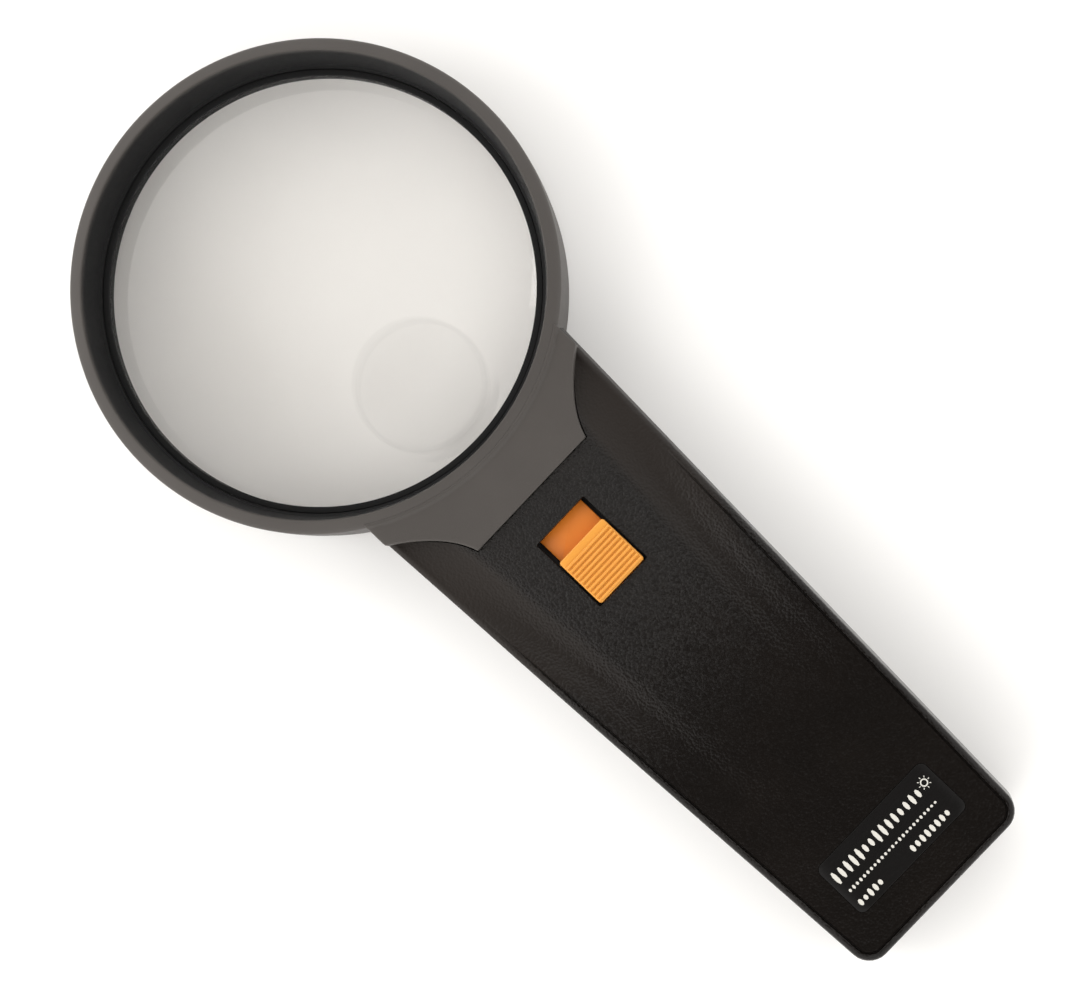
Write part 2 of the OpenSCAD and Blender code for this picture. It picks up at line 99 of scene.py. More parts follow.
RING_R = (RING_HIGH.x - RING_LOW.x) / 2
RING_TOP = RING_HIGH.z
RING_Y = RING_HIGH.y - RING_R
LENS_R = (LENS_HIGH.x - LENS_LOW.x) / 2
TAIL_Y = FRONT_LOW.y
HANDLE_TOP = FRONT_HIGH.z
SADDLE_TOP = HANDLE_TOP + 0.5 * MM
RETAINER_TOP = RETAINER_HIGH.z
LENS_EDGE_TOP = RETAINER_LOW.z - 0.05 * MM
CREST_R = RING_R - 2.9 * MM
LENS_EDGE = 2.8 * MM
SPOT_OFFSET = 28 * MM
SLOT_TAIL = RING_Y - 85.5 * MM
DOOR_HALF = DOOR_HIGH.x - 1.4 * MM
BORE_STEPS = 48


# ---------------------------------------------------------------- user settings


class MagnifierHandleSettings(PropertyGroup):
    """Shape of the handle shells"""

    head_width: FloatProperty(
        name="Head width", description="Width of the handle at the lens frame",
        default=56.2 * MM, unit="LENGTH",
    )
    tail_width: FloatProperty(
        name="Tail width", description="Width of the handle at its tail",
        default=43.4 * MM, unit="LENGTH",
    )
    corner_radius: FloatProperty(
        name="Corner radius", description="Radius of the tail corners seen from the front",
        default=5 * MM, unit="LENGTH",
    )
    edge_radius: FloatProperty(
        name="Edge radius", description="Radius of the long edges",
        default=2.4 * MM, unit="LENGTH",
    )
    side_draft: FloatProperty(
        name="Side draft", description="How far the side walls lean in from the seam",
        default=0.5 * MM, unit="LENGTH",
    )
    wall: FloatProperty(
        name="Wall", description="Wall thickness of the shells",
        default=2 * MM, unit="LENGTH",
    )
    seam_height: FloatProperty(
        name="Seam height", description="Height of the seam between the shells",
        default=11 * MM, unit="LENGTH",
    )
    plateau: FloatProperty(
        name="Plateau", description="Half width of the raised middle band",
        default=15.2 * MM, unit="LENGTH",
    )
    plateau_taper: FloatProperty(
        name="Plateau taper",
        description="Narrowing of the middle band toward the tail, per length",
        default=0.10, min=0, max=0.2,
    )
    groove: FloatProperty(
        name="Rim groove", description="Depth of the groove round the front face",
        default=0.4 * MM, unit="LENGTH",
    )
    scoop_depth: FloatProperty(
        name="Scoop depth", description="Depth of the finger scoops at the neck",
        default=3.2 * MM, unit="LENGTH",
    )
    scoop_length: FloatProperty(
        name="Scoop length", description="Length over which the finger scoops fade out",
        default=100 * MM, unit="LENGTH",
    )


class MagnifierSwitchSettings(PropertyGroup):
    """Shape of the thumb switch and its slot"""

    slot_width: FloatProperty(
        name="Slot width", description="Width of the switch slot",
        default=13.4 * MM, unit="LENGTH",
    )
    slot_length: FloatProperty(
        name="Slot length", description="Length of the switch slot",
        default=17.4 * MM, unit="LENGTH",
    )
    rib_count: IntProperty(
        name="Ribs", description="Number of ribs across the thumb cap", default=10, min=4, max=16,
    )
    rib_height: FloatProperty(
        name="Rib height", description="Height of the ribs above the cap",
        default=0.5 * MM, unit="LENGTH",
    )


class MagnifierColourSettings(PropertyGroup):
    """Colours of the moulded pieces"""

    shell_black: FloatVectorProperty(
        name="Shell black", description="Colour of the handle shells",
        subtype="COLOR", size=3, default=(0.0040, 0.0030, 0.0024), min=0, max=1,
    )
    frame_grey: FloatVectorProperty(
        name="Frame grey", description="Colour of the lens frame",
        subtype="COLOR", size=3, default=(0.052, 0.0465, 0.0425), min=0, max=1,
    )
    switch_orange: FloatVectorProperty(
        name="Switch orange", description="Colour of the thumb switch",
        subtype="COLOR", size=3, default=(0.62, 0.262, 0.034), min=0, max=1,
    )
    print_white: FloatVectorProperty(
        name="Print white", description="Colour of the marks on the label",
        subtype="COLOR", size=3, default=(0.54, 0.525, 0.48), min=0, max=1,
    )


class MagnifierStageSettings(PropertyGroup):
    """Camera and lights"""

    distance: FloatProperty(
        name="Camera distance",
        description="Distance from the camera to the middle of the top face",
        default=0.489, unit="LENGTH",
    )
    lean_tail: FloatProperty(
        name="Lean to tail", description="How far the camera leans toward the tail",
        default=math.radians(6.04), subtype="ANGLE",
    )
    lean_side: FloatProperty(
        name="Lean to side", description="How far the camera leans to the right",
        default=math.radians(2.32), subtype="ANGLE",
    )
    roll: FloatProperty(
        name="Roll", description="Turn of the picture about the view direction",
        default=math.radians(46.3), subtype="ANGLE",
    )
    focal_length: FloatProperty(
        name="Focal length", description="Focal length of the camera in millimetres",
        default=83.26, min=10, max=300,
    )
    key_power: FloatProperty(
        name="Key light", description="Power of the key softbox in watts", default=2.6, min=0,
    )
    fill_power: FloatProperty(
        name="Fill lights", description="Power that the side softboxes share out, in watts",
        default=1.0, min=0,
    )
    key_direction: FloatVectorProperty(
        name="Key direction", description="Where the main light comes from",
        subtype="DIRECTION", size=3, default=(-0.60, 0.65, 0.42),
    )
    key_glow: FloatProperty(
        name="Key glow", description="Brightness of the soft glow round the key light",
        default=0.9, min=0,
    )
    world_strength: FloatProperty(
        name="Room light", description="Strength of the soft light all round", default=1.82, min=0,
    )


# ---------------------------------------------------------------- mesh tools


def new_object(name, verts, faces, flip=False):
    """Object from points and faces; flip mirrors it in height and keeps its faces outward."""
    mesh = bpy.data.meshes.new(name)
    if flip:
        verts = [(x, y, -z) for x, y, z in verts]
        faces = [tuple(reversed(f)) for f in faces]
    mesh.from_pydata(verts, [], faces)
    mesh.validate()
    obj = bpy.data.objects.new(name, mesh)
    bpy.context.scene.collection.objects.link(obj)
    return obj


def baked(obj):
    """Turns the evaluated shape of obj into its own plain mesh and drops its modifiers."""
    bpy.context.view_layer.update()
    graph = bpy.context.evaluated_depsgraph_get()
    mesh = bpy.data.meshes.new_from_object(obj.evaluated_get(graph))
    obj.modifiers.clear()
    obj.data = mesh
    return obj


def drop(obj):
    bpy.data.objects.remove(obj, do_unlink=True)


def combine(obj, other, operation):
    """Boolean of obj with other, which is used up."""
    modifier = obj.modifiers.new("combine", "BOOLEAN")
    modifier.operation = operation
    modifier.solver = "EXACT"
    modifier.object = other
    baked(obj)
    drop(other)
    return obj


def join(obj, others):
    """One mesh out of several closed ones."""
    bm = bmesh.new()
    bm.from_mesh(obj.data)
    for other in others:
        bm.from_mesh(other.data)
    bm.to_mesh(obj.data)
    bm.free()
    for other in others:
        drop(other)
    return obj


def finish_piece(obj, body, material, stands_for=(), sharp=math.radians(35)):
    """Smooth shading with sharp edges, one material, body, and hides the parts it stands for."""
    bm = bmesh.new()
    bm.from_mesh(obj.data)
    bmesh.ops.remove_doubles(bm, verts=bm.verts, dist=1e-7)
    bmesh.ops.dissolve_degenerate(bm, edges=bm.edges, dist=1e-7)
    bm.to_mesh(obj.data)
    bm.free()
    obj.data.materials.clear()
    obj.data.materials.append(material)
    for polygon in obj.data.polygons:
        polygon.material_index = 0
    obj.data.shade_smooth()
    obj.data.set_sharp_from_angle(angle=sharp)
    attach(obj, body)
    if stands_for:
        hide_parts(*stands_for)
    return obj


def box_object(name, low, high):
    x0, y0, z0 = low
    x1, y1, z1 = high
    verts = [(x0, y0, z0), (x1, y0, z0), (x1, y1, z0), (x0, y1, z0),
             (x0, y0, z1), (x1, y0, z1), (x1, y1, z1), (x0, y1, z1)]
    faces = [(0, 3, 2, 1), (4, 5, 6, 7), (0, 1, 5, 4), (1, 2, 6, 5), (2, 3, 7, 6), (3, 0, 4, 7)]
    return new_object(name, verts, faces)


def soften(obj, width, segments=2, angle=math.radians(40)):
    modifier = obj.modifiers.new("soften", "BEVEL")
    modifier.width = width
    modifier.segments = segments
    modifier.limit_method = "ANGLE"
    modifier.angle_limit = angle
    modifier.use_clamp_overlap = True
    return baked(obj)


def soft_box(name, low, high, edge, segments=2):
    return soften(box_object(name, low, high), edge, segments)


def revolved(name, profile, segments, centre=(0, 0, 0)):
    """Closed ring from a closed profile of (radius, height) points, listed anticlockwise."""
    verts = []
    for i in range(segments):
        a = 2 * math.pi * i / segments
        verts += [(centre[0] + r * math.cos(a), centre[1] + r * math.sin(a), centre[2] + z)
                  for r, z in profile]
    n = len(profile)
    faces = []
    for i in range(segments):
        j = (i + 1) % segments
        faces += [(i * n + k, j * n + k, j * n + (k + 1) % n, i * n + (k + 1) % n)
                  for k in range(n)]
    return new_object(name, verts, faces)


def circle(r, steps, z):
    """Points of a level circle round the origin."""
    turns = [2 * math.pi * i / steps for i in range(steps)]
    return [(r * math.cos(a), r * math.sin(a), z) for a in turns]


def smooth_step(t):
    t = min(max(t, 0.0), 1.0)
    return t * t * (3 - 2 * t)


def arc(cx, cy, r, start, end, steps):
    """Points on an arc, angles in degrees."""
    return [(cx + r * math.cos(math.radians(start + (end - start) * i / steps)),
             cy + r * math.sin(math.radians(start + (end - start) * i / steps)))
            for i in range(steps + 1)]


def mitred(loop):
    """Outward offset directions of an anticlockwise closed loop of plane points."""
    normals = []
    for (x0, y0), (x1, y1) in zip(loop, loop[1:] + loop[:1]):
        length = math.hypot(x1 - x0, y1 - y0)
        normals.append(((y1 - y0) / length, (x0 - x1) / length))
    result = []
    for (ax, ay), (bx, by) in zip(normals[-1:] + normals[:-1], normals):
        share = max(1 + ax * bx + ay * by, 0.4)
        result.append(((ax + bx) / share, (ay + by) / share))
    return result


def groove_fade(y):
    """Share of the rim groove's full depth: none where the scoops reach the sides."""
    return smooth_step((RING_Y - 66 * MM - y) / (26 * MM))


def rounded_block(name, rows, height, base, edge, draft=0.0, rounds=6, walls=4, flip=False,
                  groove=()):
    """Block with a rounded upper edge. rows are equally long rows of plane points of its top face,
    from the tail up and from left to right; height gives the top face's height at a point. groove
    is a list of (outward, down) steps cut between the top face and its rounded edge."""
    across = len(rows[0])
    verts = [(x, y, height(x, y)) for row in rows for x, y in row]
    faces = [(j * across + i, j * across + i + 1, (j + 1) * across + i + 1, (j + 1) * across + i)
             for j in range(len(rows) - 1) for i in range(across - 1)]
    last = len(rows) - 1
    rim = [i for i in range(across)]
    rim += [j * across + across - 1 for j in range(1, last + 1)]
    rim += [last * across + i for i in range(across - 2, -1, -1)]
    rim += [j * across for j in range(last - 1, 0, -1)]
    outward = mitred([verts[k][:2] for k in rim])
    start_out = groove[-1][0] if groove else 0.0
    steps = [(out, fall, None) for out, fall in groove]
    steps += [(start_out + edge * math.sin(math.pi / 2 * s / rounds),
               edge * (1 - math.cos(math.pi / 2 * s / rounds)), 0) for s in range(1, rounds + 1)]
    steps += [(start_out + edge + draft * s / walls, edge, s / walls) for s in range(1, walls + 1)]
    above = rim
    for out, fall, share in steps:
        start = len(verts)
        for k, (nx, ny) in zip(rim, outward):
            x, y, z = verts[k]
            if share is None:
                top, share_here = z - fall * groove_fade(y), 0.0
            else:
                top, share_here = z - fall, share
            verts.append((x + nx * out, y + ny * out, top + (base - top) * share_here))
        below = list(range(start, start + len(rim)))
        faces += [(above[k], below[k], below[(k + 1) % len(rim)], above[(k + 1) % len(rim)])
                  for k in range(len(rim))]
        above = below
    faces.append(tuple(reversed(above)))
    return new_object(name, verts, faces, flip)


def rectangle_rows(x0, x1, y0, y1, across, along, corner=0.0, corner_steps=5):
    """Rows of plane points over a rectangle, with rounded corners if corner is above zero."""
    if corner <= 0:
        stations = [(y0 + (y1 - y0) * j / along, 0.0) for j in range(along + 1)]
    else:
        turns = [math.pi / 2 * k / corner_steps for k in range(corner_steps + 1)]
        low = [(y0 + corner * (1 - math.cos(t)), corner * (1 - math.sin(t))) for t in turns]
        high = [(y1 - corner * (1 - math.cos(t)), corner * (1 - math.sin(t)))
                for t in reversed(turns)]
        start, span = low[-1][0], high[0][0] - low[-1][0]
        middle = [(start + span * j / along, 0.0) for j in range(1, along)]
        stations = low + middle + high
    return [[(x0 + d + (x1 - x0 - 2 * d) * i / across, y) for i in range(across + 1)]
            for y, d in stations]


def node_islands(node):
    """(low, high) boxes of the separate solids in a CAD node, from the tail up, left to right."""
    mesh = frame["nodes"][node].data
    parent = {}

    def root(key):
        while parent[key] != key:
            parent[key] = parent[parent[key]]
            key = parent[key]
        return key

    keys = [tuple(round(c, 7) for c in v.co) for v in mesh.vertices]
    for key in keys:
        parent.setdefault(key, key)
    for e in mesh.edges:
        a, b = root(keys[e.vertices[0]]), root(keys[e.vertices[1]])
        parent[a] = b
    groups = {}
    for key in parent:
        groups.setdefault(root(key), []).append(key)
    boxes = [(Vector(map(min, zip(*g))), Vector(map(max, zip(*g)))) for g in groups.values()]
    return sorted(boxes, key=lambda b: (round(b[0].y, 5), b[0].x))


# ---------------------------------------------------------------- geometry node tools


class NodeSheet:
    """A geometry node tree with named inputs, made in code."""

    def __init__(self, name):
        self.tree = bpy.data.node_groups.new(name, "GeometryNodeTree")
        for side in ("INPUT", "OUTPUT"):
            self.tree.interface.new_socket("Geometry", in_out=side,
                                           socket_type="NodeSocketGeometry")
        self.ids = {}
        self.entry = self.tree.nodes.new("NodeGroupInput")
        self.exit = self.tree.nodes.new("NodeGroupOutput")

    def number(self, name, whole=False):
        kind = "NodeSocketInt" if whole else "NodeSocketFloat"
        item = self.tree.interface.new_socket(name, in_out="INPUT", socket_type=kind)
        self.ids[name] = item.identifier
        return self.entry.outputs[name]

    def add(self, kind, settings=None, inputs=None):
        node = self.tree.nodes.new(kind)
        for key, value in (settings or {}).items():
            setattr(node, key, value)
        for key, value in (inputs or {}).items():
            if isinstance(value, bpy.types.NodeSocket):
                self.tree.links.new(value, node.inputs[key])
            else:
                node.inputs[key].default_value = value
        return node

    def finish(self, geometry, material):
        realized = self.add("GeometryNodeRealizeInstances", None, {"Geometry": geometry})
        painted = self.add("GeometryNodeSetMaterial", None,
                           {"Geometry": realized.outputs[0], "Material": material})
        self.tree.links.new(painted.outputs[0], self.exit.inputs[0])

    def run(self, name, values):
        """Plain mesh object made by the tree with these input values."""
        obj = new_object(name, [(0, 0, 0)], [])
        modifier = obj.modifiers.new(name, "NODES")
        modifier.node_group = self.tree
        for key, value in values.items():
            modifier[self.ids[key]] = value
        return baked(obj)


# ---------------------------------------------------------------- shader tools


class Wire:
    """One output of a shader tree; arithmetic on it adds Math nodes."""

    def __init__(self, sheet, socket):
        self.sheet = sheet
        self.socket = socket

    def math(self, operation, *others):
        return self.sheet.add("ShaderNodeMath", {"operation": operation},
                              dict(enumerate([self, *others])))

    def __add__(self, other):
        return self.math("ADD", other)

    def __sub__(self, other):
        return self.math("SUBTRACT", other)

    def __mul__(self, other):
        return self.math("MULTIPLY", other)

    def __rsub__(self, other):
        return self.sheet.add("ShaderNodeMath", {"operation": "SUBTRACT"}, {0: other, 1: self})

    def length_with(self, other):
        return (self * self + other * other).math("SQRT")

    __radd__ = __add__
    __rmul__ = __mul__

    def between(self, low, high):
        """0 below low, 1 above high, smooth in between."""
        return self.sheet.add("ShaderNodeMapRange", {"interpolation_type": "SMOOTHSTEP"},
                              {"Value": self, "From Min": low, "From Max": high})


class PaintSheet:
    """A material's node tree, made in code."""

    def __init__(self, name, world=False):
        store = bpy.data.worlds if world else bpy.data.materials
        self.made = store.new(name)
        self.made.use_nodes = True
        self.tree = self.made.node_tree
        self.tree.nodes.clear()
        kind = "ShaderNodeOutputWorld" if world else "ShaderNodeOutputMaterial"
        self.output = self.tree.nodes.new(kind)
        self.place = self.add("ShaderNodeTexCoord", out="Generated" if world else "Object")

    def add(self, kind, settings=None, inputs=None, out=0):
        node = self.tree.nodes.new(kind)
        for key, value in (settings or {}).items():
            setattr(node, key, value)
        for key, value in (inputs or {}).items():
            if isinstance(value, Wire):
                self.tree.links.new(value.socket, node.inputs[key])
            else:
                node.inputs[key].default_value = value
        return Wire(self, node.outputs[out])

    def noise(self, scale, detail=3.0, roughness=0.55, place=None):
        return self.add("ShaderNodeTexNoise", None,
                        {"Vector": place or self.place, "Scale": scale, "Detail": detail,
                         "Roughness": roughness})

    def cells(self, scale, smoothness):
        return self.add("ShaderNodeTexVoronoi", {"feature": "SMOOTH_F1"},
                        {"Vector": self.place, "Scale": scale, "Smoothness": smoothness})

    def stretched(self, scale):
        return self.add("ShaderNodeMapping", None, {"Vector": self.place, "Scale": scale})

    def axis(self, name):
        return self.add("ShaderNodeSeparateXYZ", None, {"Vector": self.place}, out=name)

    def blend(self, factor, first, second):
        node = self.tree.nodes.new("ShaderNodeMix")
        node.data_type = "RGBA"
        for index, value in ((0, factor), (6, first), (7, second)):
            if isinstance(value, Wire):
                self.tree.links.new(value.socket, node.inputs[index])
            elif index:
                node.inputs[index].default_value = (*value, 1.0) if len(value) == 3 else value
            else:
                node.inputs[index].default_value = value
        return Wire(self, node.outputs[2])

    def bump(self, height, strength, distance):
        return self.add("ShaderNodeBump", None,
                        {"Height": height, "Strength": strength, "Distance": distance})

    def close(self, shader):
        self.tree.links.new(shader.socket, self.output.inputs["Surface"])
        return self.made

    def around(self, x, y):
        """Distance from an upright axis through (x, y)."""
        return (self.axis("X") - x).length_with(self.axis("Y") - y)

    def gloss(self, **inputs):
        names = {"colour": "Base Color", "rough": "Roughness", "metal": "Metallic",
                 "normal": "Normal", "ior": "IOR", "pass_light": "Transmission Weight",
                 "specular": "Specular IOR Level"}
        values = {}
        for key, value in inputs.items():
            if key == "colour" and not isinstance(value, Wire):
                value = (*value, 1.0)
            values[names[key]] = value
        return self.add("ShaderNodeBsdfPrincipled", None, values)


def shade(colour, factor):
    return tuple(min(c * factor, 1.0) for c in colour)


MADE = {}


def made_once(maker):
    """A material maker that runs once and then hands out the same material."""
    def get():
        if maker.__name__ not in MADE:
            MADE[maker.__name__] = maker()
        return MADE[maker.__name__]
    return get


@made_once
def grained_black():
    """Black moulded shell: leathery grain with painted glints on the middle band, smooth in the
    finger scoops, which carry a painted sheen.
    """
    scene = bpy.context.scene
    base = tuple(scene.magnifier_colours.shell_black)
    shape = scene.magnifier_handle
    p = PaintSheet("grained_black")
    across = p.axis("X").math("ABSOLUTE")
    along = p.axis("Y")
    inner = along * shape.plateau_taper + (shape.plateau + 1.2 * MM)
    outer = along * 0.049 + 23.6 * MM + along.between(-38 * MM, -8 * MM) * 9 * MM
    scoop = (across - inner).between(-1.2 * MM, 1.6 * MM)
    scoop = scoop * (1 - (across - outer).between(-1.5 * MM, 1.0 * MM))
    scoop = scoop * along.between(-62 * MM, 6 * MM)
    fade = along.between(-70 * MM, 5 * MM)
    pebble = p.cells(1900, 0.5)
    fine = p.noise(3000, 3.0)
    broad = p.noise(60, 3.0)
    worn = p.noise(700, 5.0, 0.7)
    grain = (1 - pebble) * 0.9 + fine * 0.5
    face = p.axis("Z").between(HANDLE_TOP - 5 * MM, HANDLE_TOP - 2 * MM)
    strength = (1 - scoop * 0.85) * (0.22 + fade * face * 0.78)
    normal = p.bump(grain * strength, 0.9, 0.00042)
    colour = p.blend(broad.between(0.35, 0.7), base, shade(base, 1.3))
    # painted glints: lighter specks from the worn noise on the grained face, fading toward the tail
    # and the sides, stand in for the grain catching the light
    painted_glints = worn.between(0.55, 0.75) * strength * 0.5
    colour = p.blend(painted_glints, colour, shade(base, 4.0))
    # painted sheen: the finger scoops are painted lighter, standing in for the light they catch
    colour = p.blend(scoop * 0.8, colour, shade(base, 3.8))
    rough = 0.17 + worn * 0.1 + fade * 0.12 + scoop * 0.16
    return p.close(p.gloss(colour=colour, rough=rough, normal=normal, specular=0.2))


@made_once
def satin_grey():
    """Grey moulded frame with a very fine spark-eroded texture; painted shade makes it near black
    inside the lens opening.
    """
    base = tuple(bpy.context.scene.magnifier_colours.frame_grey)
    p = PaintSheet("satin_grey")
    fine = p.noise(3200, 2.0)
    broad = p.noise(45, 3.0)
    scuff = p.noise(900, 5.0, 0.7)
    colour = p.blend(broad.between(0.35, 0.7), base, shade(base, 1.1))
    colour = p.blend(scuff.between(0.6, 0.8) * 0.35, colour, shade(base, 1.5))
    radius = p.around(0.0, RING_Y)
    wall = 1 - radius.between(CREST_R - 0.1 * MM, CREST_R + 0.35 * MM)
    # painted shade: the inner wall of the lens opening is painted near black, standing in for the
    # shade inside the opening
    colour = p.blend(wall, colour, (0.004, 0.004, 0.0042))
    rough = 0.42 + scuff * 0.14 + wall * 0.25
    normal = p.bump(fine, 0.4, 0.00008)
    return p.close(p.gloss(colour=colour, rough=rough, normal=normal, specular=0.28))


@made_once
def moulded_orange():
    """Semi-gloss orange plastic with faint dirty mottling; painted shade makes it darker and redder
    low in its recess.
    """
    colours = bpy.context.scene.magnifier_colours
    base = tuple(colours.switch_orange)
    p = PaintSheet("moulded_orange")
    broad = p.noise(220, 4.0)
    fine = p.noise(4200, 2.0)
    dirty = (base[0] * 0.95, base[1] * 0.88, base[2] * 0.8)
    colour = p.blend(broad.between(0.4, 0.75) * 0.5, base, dirty)
    # painted shade: below the cap's foot the orange is painted darker and redder, standing in for
    # the shade in the switch recess
    height = p.axis("Z")
    low = 1 - height.between(SLIDER_LOW.z + 1.9 * MM, SLIDER_LOW.z + 3.2 * MM)
    colour = p.blend(low, colour, (base[0], base[1] * 0.66, base[2] * 0.4))
    rough = 0.34 + broad * 0.16
    return p.close(p.gloss(colour=colour, rough=rough, normal=p.bump(fine, 0.2, 0.00004)))


def see_through(p, clear, tint):
    """Closes the sheet of a clear piece so that light from the lamps passes straight through."""
    passed = p.add("ShaderNodeBsdfTransparent", None, {"Color": tint})
    shadow = p.add("ShaderNodeLightPath", out="Is Shadow Ray")
    return p.close(p.add("ShaderNodeMixShader", None, {0: shadow, 1: clear, 2: passed}))


@made_once
def lens_acrylic():
    """Polished clear acrylic with a faint smoky tint, painted shade toward its edge and over the
    strong spot, a darker painted line round the spot's rim and a light film of handling marks."""
    p = PaintSheet("lens_acrylic")
    film = p.noise(140, 4.0)
    wave = p.noise(22, 2.0)
    edge = p.around(0.0, RING_Y).between(LENS_R - 14 * MM, LENS_R - 2 * MM)
    spot = p.around(0.0, RING_Y - SPOT_OFFSET)
    inside = 1 - spot.between(12.6 * MM, 13.1 * MM)
    rim = spot.between(12.3 * MM, 13.0 * MM) * (1 - spot.between(13.3 * MM, 13.9 * MM))
    # painted shade: the tint darkens a little toward the lens edge, standing in for the frame's
    # shade seen through the lens
    tint = p.blend(edge * 0.5, (0.985, 0.975, 0.96), (0.97, 0.955, 0.94))
    # painted shade: the strong spot is tinted a little darker, with a darker line round its rim,
    # standing in for the shading at the spot's edge
    tint = p.blend(inside * 0.3 + rim * 0.45, tint, (0.83, 0.82, 0.805))
    clear = p.gloss(colour=tint, rough=film * 0.03, ior=1.49, pass_light=1.0,
                    normal=p.bump(wave, 0.02, 0.0004))
    return see_through(p, clear, (0.995, 0.99, 0.985, 1.0))


@made_once
def frosted_clear():
    """Clear window with a lightly frosted face."""
    p = PaintSheet("frosted_clear")
    frost = p.noise(900, 3.0)
    clear = p.gloss(colour=(0.93, 0.94, 0.93), rough=0.12 + frost * 0.15, ior=1.49, pass_light=1.0,
                    normal=p.bump(frost, 0.2, 0.0001))
    return see_through(p, clear, (0.9, 0.9, 0.9, 1.0))


@made_once
def lamp_glass():
    """Thin blown lamp glass, slightly wavy."""
    p = PaintSheet("lamp_glass")
    wave = p.noise(160, 2.0)
    clear = p.gloss(colour=(0.96, 0.97, 0.97), rough=0.02 + wave * 0.02, ior=1.45, pass_light=1.0,
                    normal=p.bump(wave, 0.15, 0.0003))
    return see_through(p, clear, (0.93, 0.93, 0.93, 1.0))


@made_once
def label_film():
    """Thin black printed film with fine scratches."""
    p = PaintSheet("label_film")
    scratch = p.noise(900, 4.0, 0.7, p.stretched((1.0, 9.0, 1.0)))
    colour = p.blend(scratch.between(0.6, 0.8) * 0.4, (0.0035, 0.003, 0.0028), (0.02, 0.019, 0.018))
    return p.close(p.gloss(colour=colour, specular=0.25, rough=0.24 + scratch * 0.16,
                           normal=p.bump(scratch, 0.08, 0.00003)))


@made_once
def print_white():
    """Off-white screen print, slightly worn."""
    base = tuple(bpy.context.scene.magnifier_colours.print_white)
    p = PaintSheet("print_white")
    wear = p.noise(1800, 4.0, 0.7)
    colour = p.blend(wear.between(0.58, 0.75) * 0.6, base, shade(base, 0.45))
    return p.close(p.gloss(colour=colour, rough=0.4 + wear * 0.15,
                           normal=p.bump(wear, 0.1, 0.00002)))


def brushed_metal(name, base, rough, stretch, scale=900):
    """Metal with a directional grain and slight tarnish."""
    p = PaintSheet(name)
    grain = p.noise(scale, 4.0, 0.65, p.stretched(stretch))
    tarnish = p.noise(240, 4.0)
    colour = p.blend(tarnish.between(0.45, 0.75) * 0.6, base, shade(base, 0.7))
    return p.close(p.gloss(colour=colour, metal=1.0, rough=rough + grain * 0.2,
                           normal=p.bump(grain, 0.2, 0.00004)))


@made_once
def lamp_brass():
    return brushed_metal("lamp_brass", (0.72, 0.53, 0.24), 0.22, (1.0, 8.0, 1.0))


@made_once
def strip_metal():
    return brushed_metal("strip_metal", (0.74, 0.68, 0.52), 0.2, (8.0, 1.0, 1.0))


@made_once
def spring_nickel():
    return brushed_metal("spring_nickel", (0.62, 0.62, 0.62), 0.16, (1.0, 1.0, 1.0), 1600)


@made_once
def zinc_steel():
    return brushed_metal("zinc_steel", (0.52, 0.53, 0.55), 0.25, (6.0, 1.0, 1.0))


@made_once
def dull_solder():
    return brushed_metal("dull_solder", (0.50, 0.51, 0.53), 0.42, (1.0, 1.0, 1.0), 700)


def moulded(name, base, rough, scale=900):
    """Plain moulded plastic with faint mottling and texture."""
    p = PaintSheet(name)
    fine = p.noise(scale, 3.0)
    broad = p.noise(90, 3.0)
    colour = p.blend(broad.between(0.35, 0.7), base, shade(base, 0.88))
    return p.close(p.gloss(colour=colour, rough=rough + fine * 0.15,
                           normal=p.bump(fine, 0.2, 0.00005)))


@made_once
def reflector_white():
    return moulded("reflector_white", (0.80, 0.79, 0.75), 0.18)


@made_once
def holder_cream():
    return moulded("holder_cream", (0.66, 0.63, 0.55), 0.4)


@made_once
def guide_black():
    return moulded("guide_black", (0.03, 0.029, 0.028), 0.42)


@made_once
def cell_jacket():
    """Printed steel jacket of a cell: dark body, lighter band and bare metal at the ends."""
    low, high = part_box("left_cell")
    p = PaintSheet("cell_jacket")
    along = p.axis("Y")
    scuff = p.noise(500, 5.0, 0.7, p.stretched((1.0, 0.2, 1.0)))
    span = high.y - low.y
    band = along.between(low.y + span * 0.72, low.y + span * 0.725)
    band = band * (1 - along.between(low.y + span * 0.86, low.y + span * 0.865))
    body = p.blend(scuff.between(0.4, 0.75), (0.035, 0.045, 0.055), (0.07, 0.08, 0.09))
    colour = p.blend(band, body, (0.55, 0.36, 0.10))
    ends = along.between(high.y - 1.6 * MM, high.y - 1.4 * MM)
    colour = p.blend(ends, colour, (0.62, 0.62, 0.6))
    return p.close(p.gloss(colour=colour, rough=0.24 + scuff * 0.2, metal=ends * 0.9 + 0.1,
                           normal=p.bump(scuff, 0.1, 0.00004)))


# ---------------------------------------------------------------- outline of the handle


